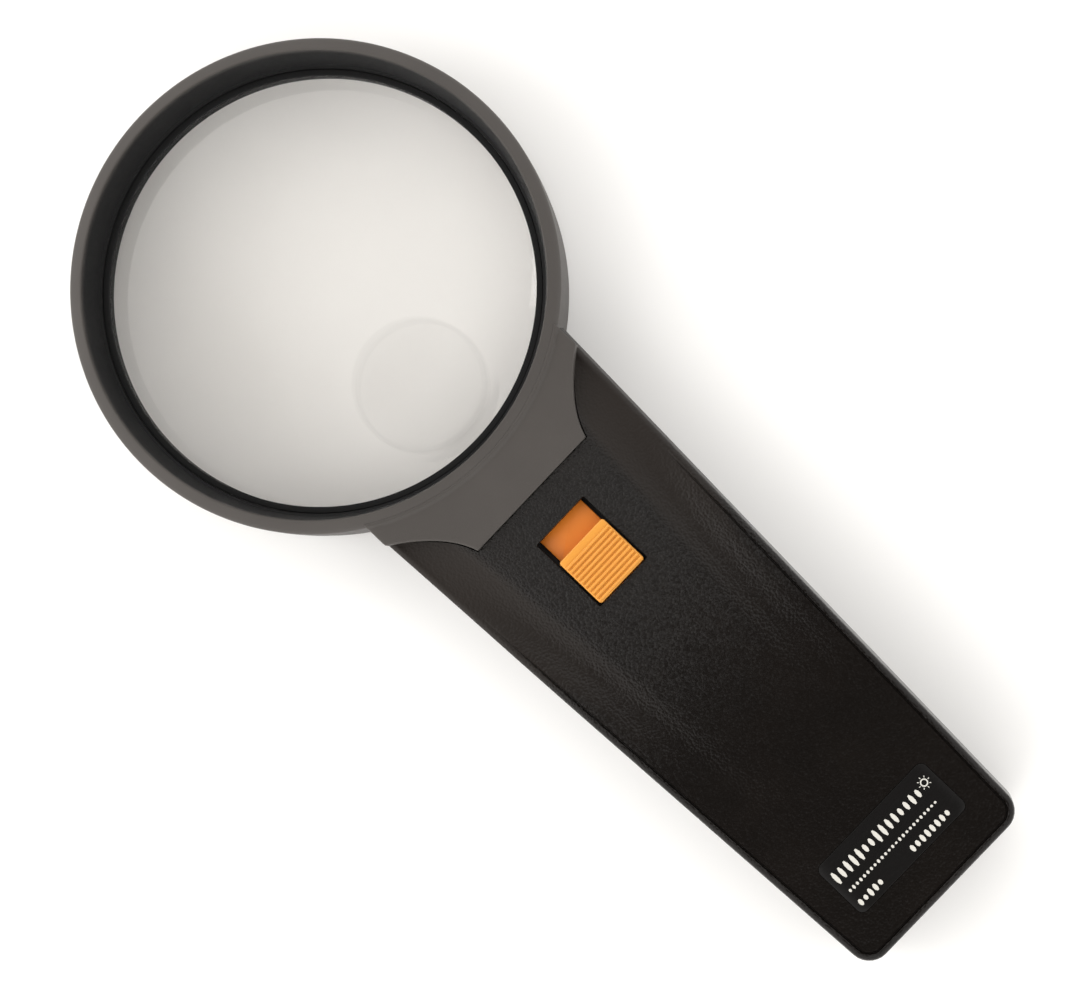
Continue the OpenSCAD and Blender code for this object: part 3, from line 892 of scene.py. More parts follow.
class HandleForm:
    """The tapering outline of the handle and its scooped front face."""

    def __init__(self, settings):
        self.s = settings
        self.head_y = RING_Y - 40.2 * MM
        self.slope = (settings.head_width - settings.tail_width) / 2 / (self.head_y - TAIL_Y)
        self.norm = math.sqrt(1 + self.slope ** 2)

    def half_width(self, y, inset=0.0):
        return self.s.tail_width / 2 + self.slope * (y - TAIL_Y) - inset * self.norm

    @staticmethod
    def ring_line(x, radius):
        return RING_Y - math.sqrt(radius ** 2 - x ** 2)

    def rows(self, inset, ring_gap, along=150, across=100, corner_steps=7):
        """Rows of the face drawn in by inset, from the tail to the lens frame's outer wall."""
        s = self.s
        r = s.corner_radius - inset
        corner_y = TAIL_Y + inset + r
        corner_x = self.half_width(corner_y, inset) - r * self.norm
        lean = -math.degrees(math.atan(self.slope))
        stations = arc(corner_x, corner_y, r, -90, lean, corner_steps)
        ring = RING_R + ring_gap + inset
        side = self.head_y
        for _ in range(20):
            side = self.ring_line(self.half_width(side, inset), ring)
        start = stations[-1][1]
        rows = [[(x * (2 * i / across - 1), y) for i in range(across + 1)] for x, y in stations]
        bend_from = side - 34 * MM
        for j in range(1, along + 1):
            y = start + (side - start) * j / along
            half = self.half_width(y, inset)
            bend = smooth_step((y - bend_from) / (side - bend_from))
            row = []
            for i in range(across + 1):
                x = half * (2 * i / across - 1)
                row.append((x, y + (self.ring_line(x, ring) - self.ring_line(half, ring)) * bend))
            rows.append(row)
        return rows

    def front(self, x, y):
        """Height of the front face: a flat middle band with a scoop on each side. Each scoop runs
        out through the side wall at the neck and turns into a shallow channel toward the tail."""
        s = self.s
        neck = RING_Y - 46 * MM
        fade = min(max((y - neck) / s.scoop_length + 1, 0.0), 1.12)
        inner = s.plateau + s.plateau_taper * min(y, 0.0)
        outer = self.half_width(y) - 3.4 * MM
        channel = smooth_step((neck - 12 * MM - y) / (42 * MM))
        reach = outer - inner + (1 - channel) * 4 * MM
        beyond = abs(x) - inner
        beyond = (beyond + math.sqrt(beyond ** 2 + (1.3 * MM) ** 2)) / 2
        share = min(beyond / reach, 1.0)
        open_side = 1 - (1 - share) ** 2
        closed_side = math.sin(math.pi * share) ** 2 * 0.75
        shape = open_side + (closed_side - open_side) * channel
        return HANDLE_TOP - s.scoop_depth * fade ** 1.5 * shape

    def rear_block(self, name, shrink=0.0):
        """Solid of the rear half; shrink draws it in for the space inside the walls."""
        s = self.s
        edge = s.edge_radius - shrink * 0.6
        inset = edge + s.side_draft + shrink
        rows = self.rows(inset, -inset + shrink + 0.1 * MM, 60, 40)
        under = 0.0 if shrink == 0 else 1.0 * MM
        return rounded_block(name, rows, lambda x, y: -REAR_LOW.z - shrink,
                             -s.seam_height - under, edge, s.side_draft, flip=True)

    def front_block(self, name, shrink=0.0):
        """Solid of the front half, with the rim groove on the outside."""
        s = self.s
        if shrink:
            edge = s.edge_radius - shrink * 0.6
            inset = edge + s.side_draft + shrink
            rows = self.rows(inset, -inset + shrink + 0.1 * MM, 60, 60)
            return rounded_block(name, rows, lambda x, y: self.front(x, y) - shrink,
                                 s.seam_height - MM, edge, s.side_draft)
        groove = ((0.08 * MM, s.groove * 0.3), (0.16 * MM, s.groove), (0.34 * MM, s.groove),
                  (0.46 * MM, s.groove * 0.3), (0.6 * MM, 0.0))
        edge = s.edge_radius - 1.2 * MM
        inset = edge + s.side_draft + groove[-1][0]
        rows = self.rows(inset, -inset + 0.1 * MM)
        return rounded_block(name, rows, self.front, s.seam_height, edge, s.side_draft,
                             groove=groove)


# ---------------------------------------------------------------- pieces


def saddle_rows(grow, across=60, along=40):
    """Rows of the neck saddle's top face, from its straight tail edge to the lens frame. Its sides
    are hollow arcs that end in a short straight piece along the handle's sides."""
    tail_y, tail_x = RING_Y - 60.5 * MM - grow, 15.5 * MM + grow
    head_y, head_x = RING_Y - 46.2 * MM, 27.4 * MM + grow
    inner = RING_R - 0.5 * MM
    side_y = RING_Y - math.sqrt(inner ** 2 - head_x ** 2)
    sag = 1.9 * MM
    grid = []
    for j in range(along + 1):
        t = j / along
        u = min((side_y - tail_y) * t / (head_y - tail_y), 1.0)
        half = tail_x + (head_x - tail_x) * u - 4 * sag * u * (1 - u)
        row = []
        for i in range(across + 1):
            share = 2 * i / across - 1
            end = RING_Y - math.sqrt(inner ** 2 - (head_x * share) ** 2)
            row.append((half * share, tail_y + (end - tail_y) * t))
        grid.append(row)
    return grid


class MAGNIFIER_OT_lens_frame(Operator):
    """Grey lens frame with its neck saddle"""

    bl_idname = "magnifier.lens_frame"
    bl_label = "Lens frame"

    def execute(self, context):
        top, seat = RING_TOP, LENS_EDGE_TOP - LENS_EDGE
        pocket, aperture = LENS_R + 0.2 * MM, LENS_R - 1.4 * MM
        step = RETAINER_TOP + 0.85 * MM
        profile = [(CREST_R + 0.9 * MM, 0.0)]
        profile += arc(RING_R - 1.3 * MM, 0.9 * MM, 0.9 * MM, -90, -4, 5)
        profile += [(RING_R - 0.3 * MM, 3 * MM), (RING_R - 0.1 * MM, 9 * MM), (RING_R, 15 * MM)]
        profile += arc(RING_R - 1.15 * MM, top - 1.75 * MM, 1.15 * MM, 0, 74, 7)
        profile += arc(CREST_R + 0.45 * MM, top - 0.3 * MM, 0.3 * MM, 74, 165, 5)
        profile += [(CREST_R - 0.1 * MM, top - 2 * MM), (pocket + 0.55 * MM, step)]
        profile += [(pocket + 0.45 * MM, step - 0.06 * MM), (pocket + 0.05 * MM, step - 0.1 * MM)]
        profile += [(pocket, step - 0.2 * MM), (pocket, seat), (aperture, seat - 0.5 * MM)]
        profile += [(aperture, seat - 1.3 * MM), (aperture + 0.5 * MM, seat - 2.2 * MM)]
        profile += arc(CREST_R + 0.4 * MM, 0.5 * MM, 0.5 * MM, 180, 270, 4)
        ring = revolved("lens_ring", profile, 300, (0, RING_Y, 0))
        window_low, window_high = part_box("light_window")
        clear = 0.1 * MM
        half = window_high.x + clear
        cutter = box_object("window_cut", (-half, RING_Y - RING_R - 5 * MM, window_low.z - clear),
                            (half, RING_Y - 38 * MM, window_high.z + clear))
        combine(ring, cutter, "DIFFERENCE")
        finish_piece(ring, BODY_CASE, satin_grey(), ("lens_frame",))

        blend_r = 0.55 * MM

        def saddle_height(x, y):
            out = math.hypot(x, y - RING_Y) - RING_R
            rise = max(0.0, 1 - max(out, 0.0) / blend_r)
            return SADDLE_TOP + (1 - math.sqrt(max(1 - rise ** 2, 0.0))) * blend_r * 0.8

        saddle = rounded_block("neck_saddle", saddle_rows(-0.35 * MM), saddle_height, 16 * MM,
                               0.35 * MM, rounds=4, walls=2)
        lugs = [lug_post("saddle_lug", low, high) for low, high in node_islands("case_screws")[2:]]
        join(saddle, lugs)
        finish_piece(saddle, BODY_CASE, satin_grey(), ("lens_frame",))
        return {"FINISHED"}


def lug_post(name, low, high):
    """Hollow post under the saddle that one case screw bites into."""
    centre = (low + high) / 2
    outer, bore, bottom, top = 3.0 * MM, 1.3 * MM, 6.2 * MM, 16.4 * MM
    profile = [(bore, bottom), (outer - 0.2 * MM, bottom), (outer, bottom + 0.2 * MM), (outer, top),
               (bore, top)]
    return revolved(name, profile, BORE_STEPS, (centre.x, centre.y, 0))


def light_gap():
    """Space in front of the reflector that both shells leave open toward the window."""
    low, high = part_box("reflector")
    play = 0.1 * MM
    return box_object("light_gap", (low.x - play, high.y - 3 * MM, low.z - play),
                      (high.x + play, RING_Y - 44 * MM, high.z + play))


class MAGNIFIER_OT_retaining_ring(Operator):
    """Snap ring that holds the lens"""

    bl_idname = "magnifier.retaining_ring"
    bl_label = "Retaining ring"

    def execute(self, context):
        low, high = RETAINER_LOW.z, RETAINER_HIGH.z
        outer = (RETAINER_HIGH.x - RETAINER_LOW.x) / 2
        inner = outer - 1.3 * MM
        profile = [(inner + 0.05 * MM, low + 0.42 * MM), (outer - 0.1 * MM, low)]
        profile.append((outer, low + 0.1 * MM))
        profile += arc(outer - 0.15 * MM, high - 0.15 * MM, 0.15 * MM, 0, 90, 3)
        profile += arc(inner + 0.2 * MM, high - 0.2 * MM, 0.2 * MM, 90, 180, 4)
        ring = revolved("retainer_band", profile, 300, (0, RING_Y, 0))
        finish_piece(ring, BODY_CASE, satin_grey(), ("retaining_ring",))
        return {"FINISHED"}


class MAGNIFIER_OT_lens(Operator):
    """Clear double convex lens with its strong spot"""

    bl_idname = "magnifier.lens"
    bl_label = "Lens"

    def execute(self, context):
        face_r, spot_r, spot_face = 245 * MM, 13.4 * MM, 75 * MM
        edge_top, edge_low = LENS_EDGE_TOP, LENS_EDGE_TOP - LENS_EDGE
        sag = face_r - math.sqrt(face_r ** 2 - LENS_R ** 2)

        def bulge(r):
            return math.sqrt(face_r ** 2 - r ** 2) - face_r + sag

        radii = [LENS_R * k / 48 for k in range(1, 49)]
        spokes = 240
        verts = [(0, 0, edge_top + bulge(0))]
        for r in radii:
            verts += circle(r, spokes, edge_top + bulge(r))
        half = len(verts)
        verts += [(x, y, edge_top + edge_low - z) for x, y, z in verts]
        faces = []
        for i in range(spokes):
            j = (i + 1) % spokes
            faces.append((0, 1 + i, 1 + j))
            faces.append((half, half + 1 + j, half + 1 + i))
            for k in range(len(radii) - 1):
                a, b = 1 + k * spokes, 1 + (k + 1) * spokes
                faces.append((a + i, b + i, b + j, a + j))
                faces.append((half + a + i, half + a + j, half + b + j, half + b + i))
            a = 1 + (len(radii) - 1) * spokes
            faces.append((a + i, half + a + i, half + a + j, a + j))
        verts = [(x, y + RING_Y, z) for x, y, z in verts]
        lens = new_object("lens_disc", verts, faces)

        spot_sag = spot_face - math.sqrt(spot_face ** 2 - spot_r ** 2)
        tilt = math.asin(SPOT_OFFSET / face_r)
        surface = math.sqrt(face_r ** 2 - spot_r ** 2)
        cap_radii = [spot_r * k / 16 for k in range(1, 17)]
        cap = [(0, spot_sag)] + [(r, math.sqrt(spot_face ** 2 - r ** 2) - spot_face + spot_sag)
                                 for r in cap_radii]
        cap += [(spot_r, -0.8 * MM), (0, -0.8 * MM)]
        turns = 120
        verts, faces = [], []
        for r, z in cap[1:-1]:
            verts += circle(r, turns, z)
        top, bottom = len(verts), len(verts) + 1
        verts += [(0, 0, cap[0][1]), (0, 0, cap[-1][1])]
        for i in range(turns):
            j = (i + 1) % turns
            faces.append((top, i, j))
            for k in range(len(cap) - 3):
                a, b = k * turns, (k + 1) * turns
                faces.append((a + i, b + i, b + j, a + j))
            a = (len(cap) - 3) * turns
            faces.append((a + i, bottom, a + j))
        spot = new_object("strong_spot", verts, faces)
        place = Matrix.Translation((0, RING_Y, edge_top - face_r + sag))
        place = place @ Matrix.Rotation(tilt, 4, "X") @ Matrix.Translation((0, 0, surface))
        spot.data.transform(place)
        combine(lens, spot, "UNION")
        finish_piece(lens, BODY_CASE, lens_acrylic(), ("lens",), math.radians(12))
        return {"FINISHED"}


class MAGNIFIER_OT_front_shell(Operator):
    """Front half of the handle with the switch slot and the finger scoops"""

    bl_idname = "magnifier.front_shell"
    bl_label = "Front shell"

    def execute(self, context):
        s, w = context.scene.magnifier_handle, context.scene.magnifier_switch
        form = HandleForm(s)
        shell = form.front_block("front_cover")
        combine(shell, form.front_block("front_space", s.wall), "DIFFERENCE")
        self.sink(shell, saddle_rows(0.12 * MM, 40, 24), HANDLE_TOP + 3 * MM, 15.9 * MM)
        rows = rectangle_rows(-w.slot_width / 2, w.slot_width / 2, SLOT_TAIL,
                              SLOT_TAIL + w.slot_length, 4, 4, 0.35 * MM)
        self.sink(shell, rows, HANDLE_TOP + 2 * MM, HANDLE_TOP - 4 * MM)
        play = 0.1 * MM
        rows = rectangle_rows(LABEL_LOW.x - play, LABEL_HIGH.x + play, LABEL_LOW.y - play,
                              LABEL_HIGH.y + play, 4, 4, 1.5 * MM)
        self.sink(shell, rows, HANDLE_TOP + 2 * MM, HANDLE_TOP - 0.2 * MM)
        combine(shell, light_gap(), "DIFFERENCE")
        finish_piece(shell, BODY_CASE, grained_black(), ("front_shell",))
        posts = [lug_post("shell_post", low, high)
                 for low, high in node_islands("case_screws")[:2]]
        rests = [self.cell_rest(y * MM) for y in (-62, -78, -94)]
        inner = join(posts[0], posts[1:] + rests)
        inner.name = "front_inner_posts"
        finish_piece(inner, BODY_CASE, grained_black(), ("front_shell",))
        return {"FINISHED"}

    @staticmethod
    def sink(shell, rows, top, floor):
        """Cuts a pocket with the outline of rows into the shell."""
        cut = rounded_block("pocket_cut", rows, lambda x, y: top, floor, 0.01 * MM,
                            rounds=1, walls=1)
        combine(shell, cut, "DIFFERENCE")

    @staticmethod
    def cell_rest(y):
        """Curved rest across both cells."""
        low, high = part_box("left_cell")
        radius = (high.x - low.x) / 2 + 0.1 * MM
        centre_x, centre_z = (low.x + high.x) / 2, (low.z + high.z) / 2
        top, side = HANDLE_TOP - 1.9 * MM, 15 * MM
        under = []
        for s in (-1, 1):
            x0 = s * abs(centre_x)
            under += [(x0 - radius * math.cos(a), centre_z + radius * math.sin(a))
                      for a in [math.radians(32 + 116 * k / 16) for k in range(17)]]
        outline = [(-side, under[0][1])] + under + [(side, under[-1][1]), (side, top), (-side, top)]
        n = len(outline)
        thick = 1.4 * MM
        verts = [(x, y, z) for x, z in outline] + [(x, y + thick, z) for x, z in outline]
        faces = [tuple(range(n)), tuple(reversed(range(n, 2 * n)))]
        faces += [(k, k + n, (k + 1) % n + n, (k + 1) % n) for k in range(n)]
        return new_object("cell_rest", verts, faces)


class MAGNIFIER_OT_rear_shell(Operator):
    """Rear half of the handle with the cell bay and the screw towers"""

    bl_idname = "magnifier.rear_shell"
    bl_label = "Rear shell"

    def execute(self, context):
        s = context.scene.magnifier_handle
        form = HandleForm(s)
        shell = form.rear_block("rear_cover")
        combine(shell, form.rear_block("rear_space", s.wall), "DIFFERENCE")
        outer, bottom, top, core = 4.1 * MM, 1.0 * MM, 6.0 * MM, 1.0 * MM
        profile = [(core, bottom), (outer, bottom), (outer, top - 0.2 * MM),
                   (outer - 0.2 * MM, top), (core, top)]
        for low, high in node_islands("case_screws"):
            centre = (low + high) / 2
            tower = revolved("tower", profile, BORE_STEPS, (centre.x, centre.y, 0))
            combine(shell, tower, "UNION")
            combine(shell, self.stepped_plug(centre), "DIFFERENCE")
        half = DOOR_HALF + 0.2 * MM
        head = DOOR_HIGH.y + 0.2 * MM
        opening = box_object("door_opening", (-half, TAIL_Y - MM, -MM), (half, head, s.wall))
        combine(shell, opening, "DIFFERENCE")
        combine(shell, light_gap(), "DIFFERENCE")
        finish_piece(shell, BODY_CASE, grained_black(), ("rear_shell",))
        self.bay(head)
        return {"FINISHED"}

    @staticmethod
    def stepped_plug(centre):
        """Screw hole with its wide seat for the head."""
        profile = [(0.0, -MM), (3.2 * MM, -MM), (3.2 * MM, 0.0), (3.0 * MM, 0.2 * MM),
                   (3.0 * MM, 3.0 * MM), (1.55 * MM, 3.0 * MM), (1.55 * MM, 7 * MM), (0.0, 7 * MM)]
        steps = BORE_STEPS
        verts, faces = [], []
        for r, z in profile[1:-1]:
            verts += [(centre.x + x, centre.y + y, z) for x, y, z in circle(r, steps, z)]
        rings = len(profile) - 2
        for k in range(rings - 1):
            a, b = k * steps, (k + 1) * steps
            faces += [(a + i, a + (i + 1) % steps, b + (i + 1) % steps, b + i)
                      for i in range(steps)]
        faces.append(tuple(reversed(range(steps))))
        faces.append(tuple(range((rings - 1) * steps, rings * steps)))
        return new_object("screw_cut", verts, faces)

    @staticmethod
    def bay(head):
        """Walls of the cell bay with the rails that the battery cover slides in."""
        tail = TAIL_Y + 2.1 * MM
        wall_x, foot, top, rail_top, edge = 15.8 * MM, 1.95 * MM, 18 * MM, 3.6 * MM, 0.25 * MM
        parts = []
        for s in (-1, 1):
            x0, x1 = sorted((s * wall_x, s * (wall_x + 1.4 * MM)))
            parts.append(soft_box("bay_side", (x0, tail, foot), (x1, head + MM, top), edge))
            x0, x1 = sorted((s * (wall_x + 1.2 * MM), s * (wall_x + 3.2 * MM)))
            parts.append(soft_box("bay_rail", (x0, tail, foot), (x1, head + MM, rail_top), edge))
        bay_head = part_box("left_cell")[1].y + 0.6 * MM
        end = soft_box("bay_head", (-wall_x - 0.7 * MM, bay_head, foot),
                       (wall_x + 0.7 * MM, bay_head + 1.5 * MM, top), edge)
        for x0, x1, z0, z1 in ((-9.7, -5.3, 13.5, 14.9), (8.3, 10.7, 7.8, 12.2)):
            notch = box_object("notch", (x0 * MM, bay_head - MM, z0 * MM),
                               (x1 * MM, bay_head + 3 * MM, z1 * MM))
            combine(end, notch, "DIFFERENCE")
        bay = join(end, parts)
        bay.name = "cell_bay"
        finish_piece(bay, BODY_CASE, grained_black(), ("rear_shell",))


class MAGNIFIER_OT_battery_cover(Operator):
    """Sliding battery cover with its grip ribs"""

    bl_idname = "magnifier.battery_cover"
    bl_label = "Battery cover"

    def execute(self, context):
        s = context.scene.magnifier_handle
        cover = HandleForm(s).rear_block("battery_cover")
        block = soft_box("cover_block", (-DOOR_HALF, TAIL_Y - 3 * MM, -3 * MM),
                         (DOOR_HALF, DOOR_HIGH.y, DOOR_HIGH.z), 0.15 * MM)
        combine(cover, block, "INTERSECT")
        hollow = soft_box("grip_hollow", (-10 * MM, DOOR_HIGH.y - 21.5 * MM, -MM),
                          (10 * MM, DOOR_HIGH.y - 6 * MM, 0.75 * MM), 0.3 * MM)
        combine(cover, hollow, "DIFFERENCE")
        for side in (-1, 1):
            x0, x1 = sorted((side * (DOOR_HALF - 0.5 * MM), side * DOOR_HIGH.x))
            tongue = box_object("tongue", (x0, TAIL_Y + 1.2 * MM, 0.95 * MM),
                                (x1, DOOR_HIGH.y - MM, 1.65 * MM))
            combine(cover, tongue, "UNION")
        ribs = rib_sheet("grip_rib_tree", grained_black())
        grip = ribs.run("grip_ribs", {"Count": 6, "Pitch": 2.2 * MM,
                                      "Start": DOOR_HIGH.y - 19.5 * MM, "Length": 18.4 * MM,
                                      "Width": 0.55 * MM, "Height": 0.85 * MM, "Rise": 0.75 * MM})
        combine(cover, grip, "UNION")
        finish_piece(cover, BODY_DOOR, grained_black(), ("battery_door",))
        return {"FINISHED"}


def rib_sheet(name, material):
    """Geometry node tree: a row of oval bars across X, set along Y. Height is their axis height."""
    g = NodeSheet(name)
    count = g.number("Count", whole=True)
    pitch, start = g.number("Pitch"), g.number("Start")
    length, width = g.number("Length"), g.number("Width")
    height, rise = g.number("Height"), g.number("Rise")
    first = g.add("ShaderNodeCombineXYZ", None, {"Y": start, "Z": height})
    step = g.add("ShaderNodeCombineXYZ", None, {"Y": pitch})
    line = g.add("GeometryNodeMeshLine", {"mode": "OFFSET"},
                 {"Count": count, "Start Location": first.outputs[0], "Offset": step.outputs[0]})
    bar = g.add("GeometryNodeMeshCylinder", {"fill_type": "NGON"},
                {"Vertices": 16, "Radius": 1.0, "Depth": 1.0})
    scale = g.add("ShaderNodeCombineXYZ", None, {"X": rise, "Y": width, "Z": length})
    sized = g.add("GeometryNodeTransform", None,
                  {"Geometry": bar.outputs[0], "Scale": scale.outputs[0]})
    turned = g.add("GeometryNodeTransform", None,
                   {"Geometry": sized.outputs[0], "Rotation": (0, math.pi / 2, 0)})
    bars = g.add("GeometryNodeInstanceOnPoints", None,
                 {"Points": line.outputs[0], "Instance": turned.outputs[0]})
    g.finish(bars.outputs[0], material)
    return g


class MAGNIFIER_OT_thumb_switch(Operator):
    """Orange thumb switch: ribbed cap on its recessed tongue"""

    bl_idname = "magnifier.thumb_switch"
    bl_label = "Thumb switch"

    def execute(self, context):
        s = context.scene.magnifier_switch
        cap_half = SLIDER_HIGH.x
        tongue_half = cap_half - 0.35 * MM
        cap_tail, cap_length = SLOT_TAIL + 0.3 * MM, 11.4 * MM
        cap_top = SLIDER_HIGH.z - s.rib_height
        tongue_top = SLIDER_LOW.z + 1.7 * MM
        edge = 0.3 * MM
        rows = rectangle_rows(-cap_half + edge, cap_half - edge, cap_tail + edge,
                              cap_tail + cap_length - edge, 12, 12, 0.25 * MM)
        cap = rounded_block("thumb_switch", rows, lambda x, y: cap_top, SLIDER_LOW.z + 0.4 * MM,
                            edge, rounds=4, walls=1)
        tongue = soft_box("tongue", (-tongue_half, SLIDER_LOW.y, SLIDER_LOW.z),
                          (tongue_half, SLIDER_HIGH.y, tongue_top), 0.15 * MM)
        combine(cap, tongue, "UNION")
        pitch = (cap_length - 1.5 * MM) / s.rib_count
        ribs = rib_sheet("thumb_rib_tree", moulded_orange())
        row = ribs.run("thumb_ribs", {"Count": s.rib_count, "Pitch": pitch,
                                      "Start": cap_tail + pitch * 0.55,
                                      "Length": 2 * cap_half - 0.5 * MM, "Width": pitch * 0.36,
                                      "Height": cap_top - 0.06 * MM,
                                      "Rise": s.rib_height + 0.04 * MM})
        combine(cap, row, "UNION")
        finish_piece(cap, BODY_SWITCH, moulded_orange(), ("switch_slider",))
        return {"FINISHED"}


class MAGNIFIER_OT_label(Operator):
    """Dark label with plain decorative marks and no lettering"""

    bl_idname = "magnifier.label"
    bl_label = "Label"

    def execute(self, context):
        edge = 0.06 * MM
        rows = rectangle_rows(LABEL_LOW.x + edge, LABEL_HIGH.x - edge, LABEL_LOW.y + edge,
                              LABEL_HIGH.y - edge, 12, 8, 1.3 * MM)
        top = LABEL_HIGH.z
        film = rounded_block("label_plate_film", rows, lambda x, y: top, LABEL_LOW.z, edge,
                             rounds=2, walls=1)
        finish_piece(film, BODY_CASE, label_film(), ("label_plate",))
        marks = self.marks(top)
        finish_piece(marks, BODY_CASE, print_white(), sharp=math.radians(20))
        return {"FINISHED"}

    @staticmethod
    def marks(top):
        """A band of rounded dashes, a fine dotted rule and a small lamp sign."""
        g = NodeSheet("dash_tree")
        count = g.number("Count", whole=True)
        seed = g.number("Seed", whole=True)
        x0, y0 = g.number("X"), g.number("Y")
        pitch, width, height = g.number("Pitch"), g.number("Width"), g.number("Height")
        spread = g.number("Spread")
        level = g.number("Level")
        first = g.add("ShaderNodeCombineXYZ", None, {"X": x0, "Y": y0, "Z": level})
        step = g.add("ShaderNodeCombineXYZ", None, {"X": pitch})
        line = g.add("GeometryNodeMeshLine", {"mode": "OFFSET"},
                     {"Count": count, "Start Location": first.outputs[0],
                      "Offset": step.outputs[0]})
        bar = g.add("GeometryNodeMeshCylinder", {"fill_type": "NGON"},
                    {"Vertices": 8, "Radius": 1.08, "Depth": 0.04 * MM})
        dot = g.add("GeometryNodeTransform", None,
                    {"Geometry": bar.outputs[0], "Rotation": (0, 0, math.pi / 8)})
        change = g.add("FunctionNodeRandomValue", {"data_type": "FLOAT"}, None)
        low = g.add("ShaderNodeMath", {"operation": "SUBTRACT"}, {0: 1.0, 1: spread})
        g.tree.links.new(low.outputs[0], change.inputs[2])
        change.inputs[3].default_value = 1.0
        g.tree.links.new(seed, change.inputs["Seed"])
        long = g.add("ShaderNodeMath", {"operation": "MULTIPLY"},
                     {0: change.outputs[1], 1: height})
        scale = g.add("ShaderNodeCombineXYZ", None, {"X": width, "Y": long.outputs[0], "Z": 1.0})
        dots = g.add("GeometryNodeInstanceOnPoints", None,
                     {"Points": line.outputs[0], "Instance": dot.outputs[0],
                      "Scale": scale.outputs[0]})
        g.finish(dots.outputs[0], print_white())
        level_z = top + 0.01 * MM
        short = {"Y": LABEL_LOW.y + 1.9 * MM, "Pitch": 1.35 * MM, "Width": 0.42 * MM,
                 "Height": 0.85 * MM, "Spread": 0.4}
        rows = [
            {"Count": 15, "Seed": 3, "X": -13.0 * MM, "Y": LABEL_HIGH.y - 3.9 * MM,
             "Pitch": 1.62 * MM, "Width": 0.42 * MM, "Height": 1.45 * MM, "Spread": 0.55},
            {"Count": 25, "Seed": 5, "X": -12.8 * MM, "Y": LABEL_HIGH.y - 7.4 * MM,
             "Pitch": 0.98 * MM, "Width": 0.27 * MM, "Height": 0.42 * MM, "Spread": 0.5},
            {"Count": 5, "Seed": 9, "X": -13.0 * MM, **short},
            {"Count": 8, "Seed": 11, "X": 1.4 * MM, **short},
        ]
        made = [g.run("label_marks", {**row, "Level": level_z}) for row in rows]
        sign = []
        centre_x, centre_y = 12.0 * MM, LABEL_HIGH.y - 3.3 * MM
        inner, outer, thick, rays = 0.55 * MM, 0.8 * MM, 0.03 * MM, 8
        profile = [(inner, 0.0), (outer, 0.0), (outer, thick), (inner, thick)]
        sign.append(revolved("sign_ring", profile, 40, (centre_x, centre_y, top)))
        centre = Matrix.Translation((centre_x, centre_y, top))
        for k in range(rays):
            ray = box_object("ray", (1.0 * MM, -0.08 * MM, 0.0), (1.35 * MM, 0.08 * MM, thick))
            ray.data.transform(centre @ Matrix.Rotation(2 * math.pi * k / rays, 4, "Z"))
            sign.append(ray)
        return join(made[0], made[1:] + sign)


class MAGNIFIER_OT_screws(Operator):
    """Four case screws with cross recesses"""

    bl_idname = "magnifier.screws"
    bl_label = "Case screws"

    def execute(self, context):
        boxes = node_islands("case_screws")
        low, high = boxes[0]
        head_r = (high.x - low.x) / 2
        head_z, seat_z, tip_z = low.z, low.z + 1.65 * MM, high.z
        shank, pitch = 1.0 * MM, 0.9 * MM
        profile = [(head_r - 0.5 * MM, head_z + 0.08 * MM), (head_r - 0.1 * MM, head_z + 0.5 * MM),
                   (head_r, head_z + 0.9 * MM), (head_r, seat_z), (shank, seat_z)]
        turns = int((tip_z - seat_z - 1.6 * MM) / pitch)
        for k in range(turns):
            z = seat_z + 0.3 * MM + k * pitch
            profile += [(shank, z), (shank + 0.2 * MM, z + pitch * 0.3), (shank, z + pitch * 0.6)]
        profile += [(shank, tip_z - 1.2 * MM), (0.25 * MM, tip_z)]
        steps = 32
        verts = [(0, 0, head_z), (0, 0, tip_z)]
        faces = []
        for r, z in profile:
            verts += circle(r, steps, z)
        n = len(profile)
        for i in range(steps):
            j = (i + 1) % steps
            faces.append((0, 2 + j, 2 + i))
            faces.append((1, 2 + (n - 1) * steps + i, 2 + (n - 1) * steps + j))
            faces += [(2 + k * steps + i, 2 + k * steps + j, 2 + (k + 1) * steps + j,
                       2 + (k + 1) * steps + i) for k in range(n - 1)]
        screw = new_object("one_screw", verts, faces)
        long, wide, depth = 1.5 * MM, 0.28 * MM, 0.9 * MM
        for turn in (0, math.pi / 2):
            slot = box_object("recess", (-long, -wide, head_z - MM), (long, wide, head_z + depth))
            slot.data.transform(Matrix.Rotation(turn + 0.4, 4, "Z"))
            combine(screw, slot, "DIFFERENCE")
        centres = [((a.x + b.x) / 2, (a.y + b.y) / 2, 0) for a, b in boxes]
        points = new_object("screw_points", centres, [])
        g = NodeSheet("screw_tree")
        seed = g.number("Seed", whole=True)
        source = g.add("GeometryNodeObjectInfo", {"transform_space": "ORIGINAL"}, {"Object": screw})
        turn = g.add("FunctionNodeRandomValue", {"data_type": "FLOAT"}, None)
        turn.inputs[2].default_value = 0.0
        turn.inputs[3].default_value = math.pi
        g.tree.links.new(seed, turn.inputs["Seed"])
        angle = g.add("ShaderNodeCombineXYZ", None, {"Z": turn.outputs[1]})
        placed = g.add("GeometryNodeInstanceOnPoints", None,
                       {"Points": g.entry.outputs["Geometry"],
                        "Instance": source.outputs["Geometry"], "Rotation": angle.outputs[0]})
        g.finish(placed.outputs[0], zinc_steel())
        modifier = points.modifiers.new("screws", "NODES")
        modifier.node_group = g.tree
        modifier[g.ids["Seed"]] = 4
        baked(points)
        drop(screw)
        points.name = "case_screw_set"
        finish_piece(points, BODY_CASE, zinc_steel(), ("case_screws",))
        return {"FINISHED"}


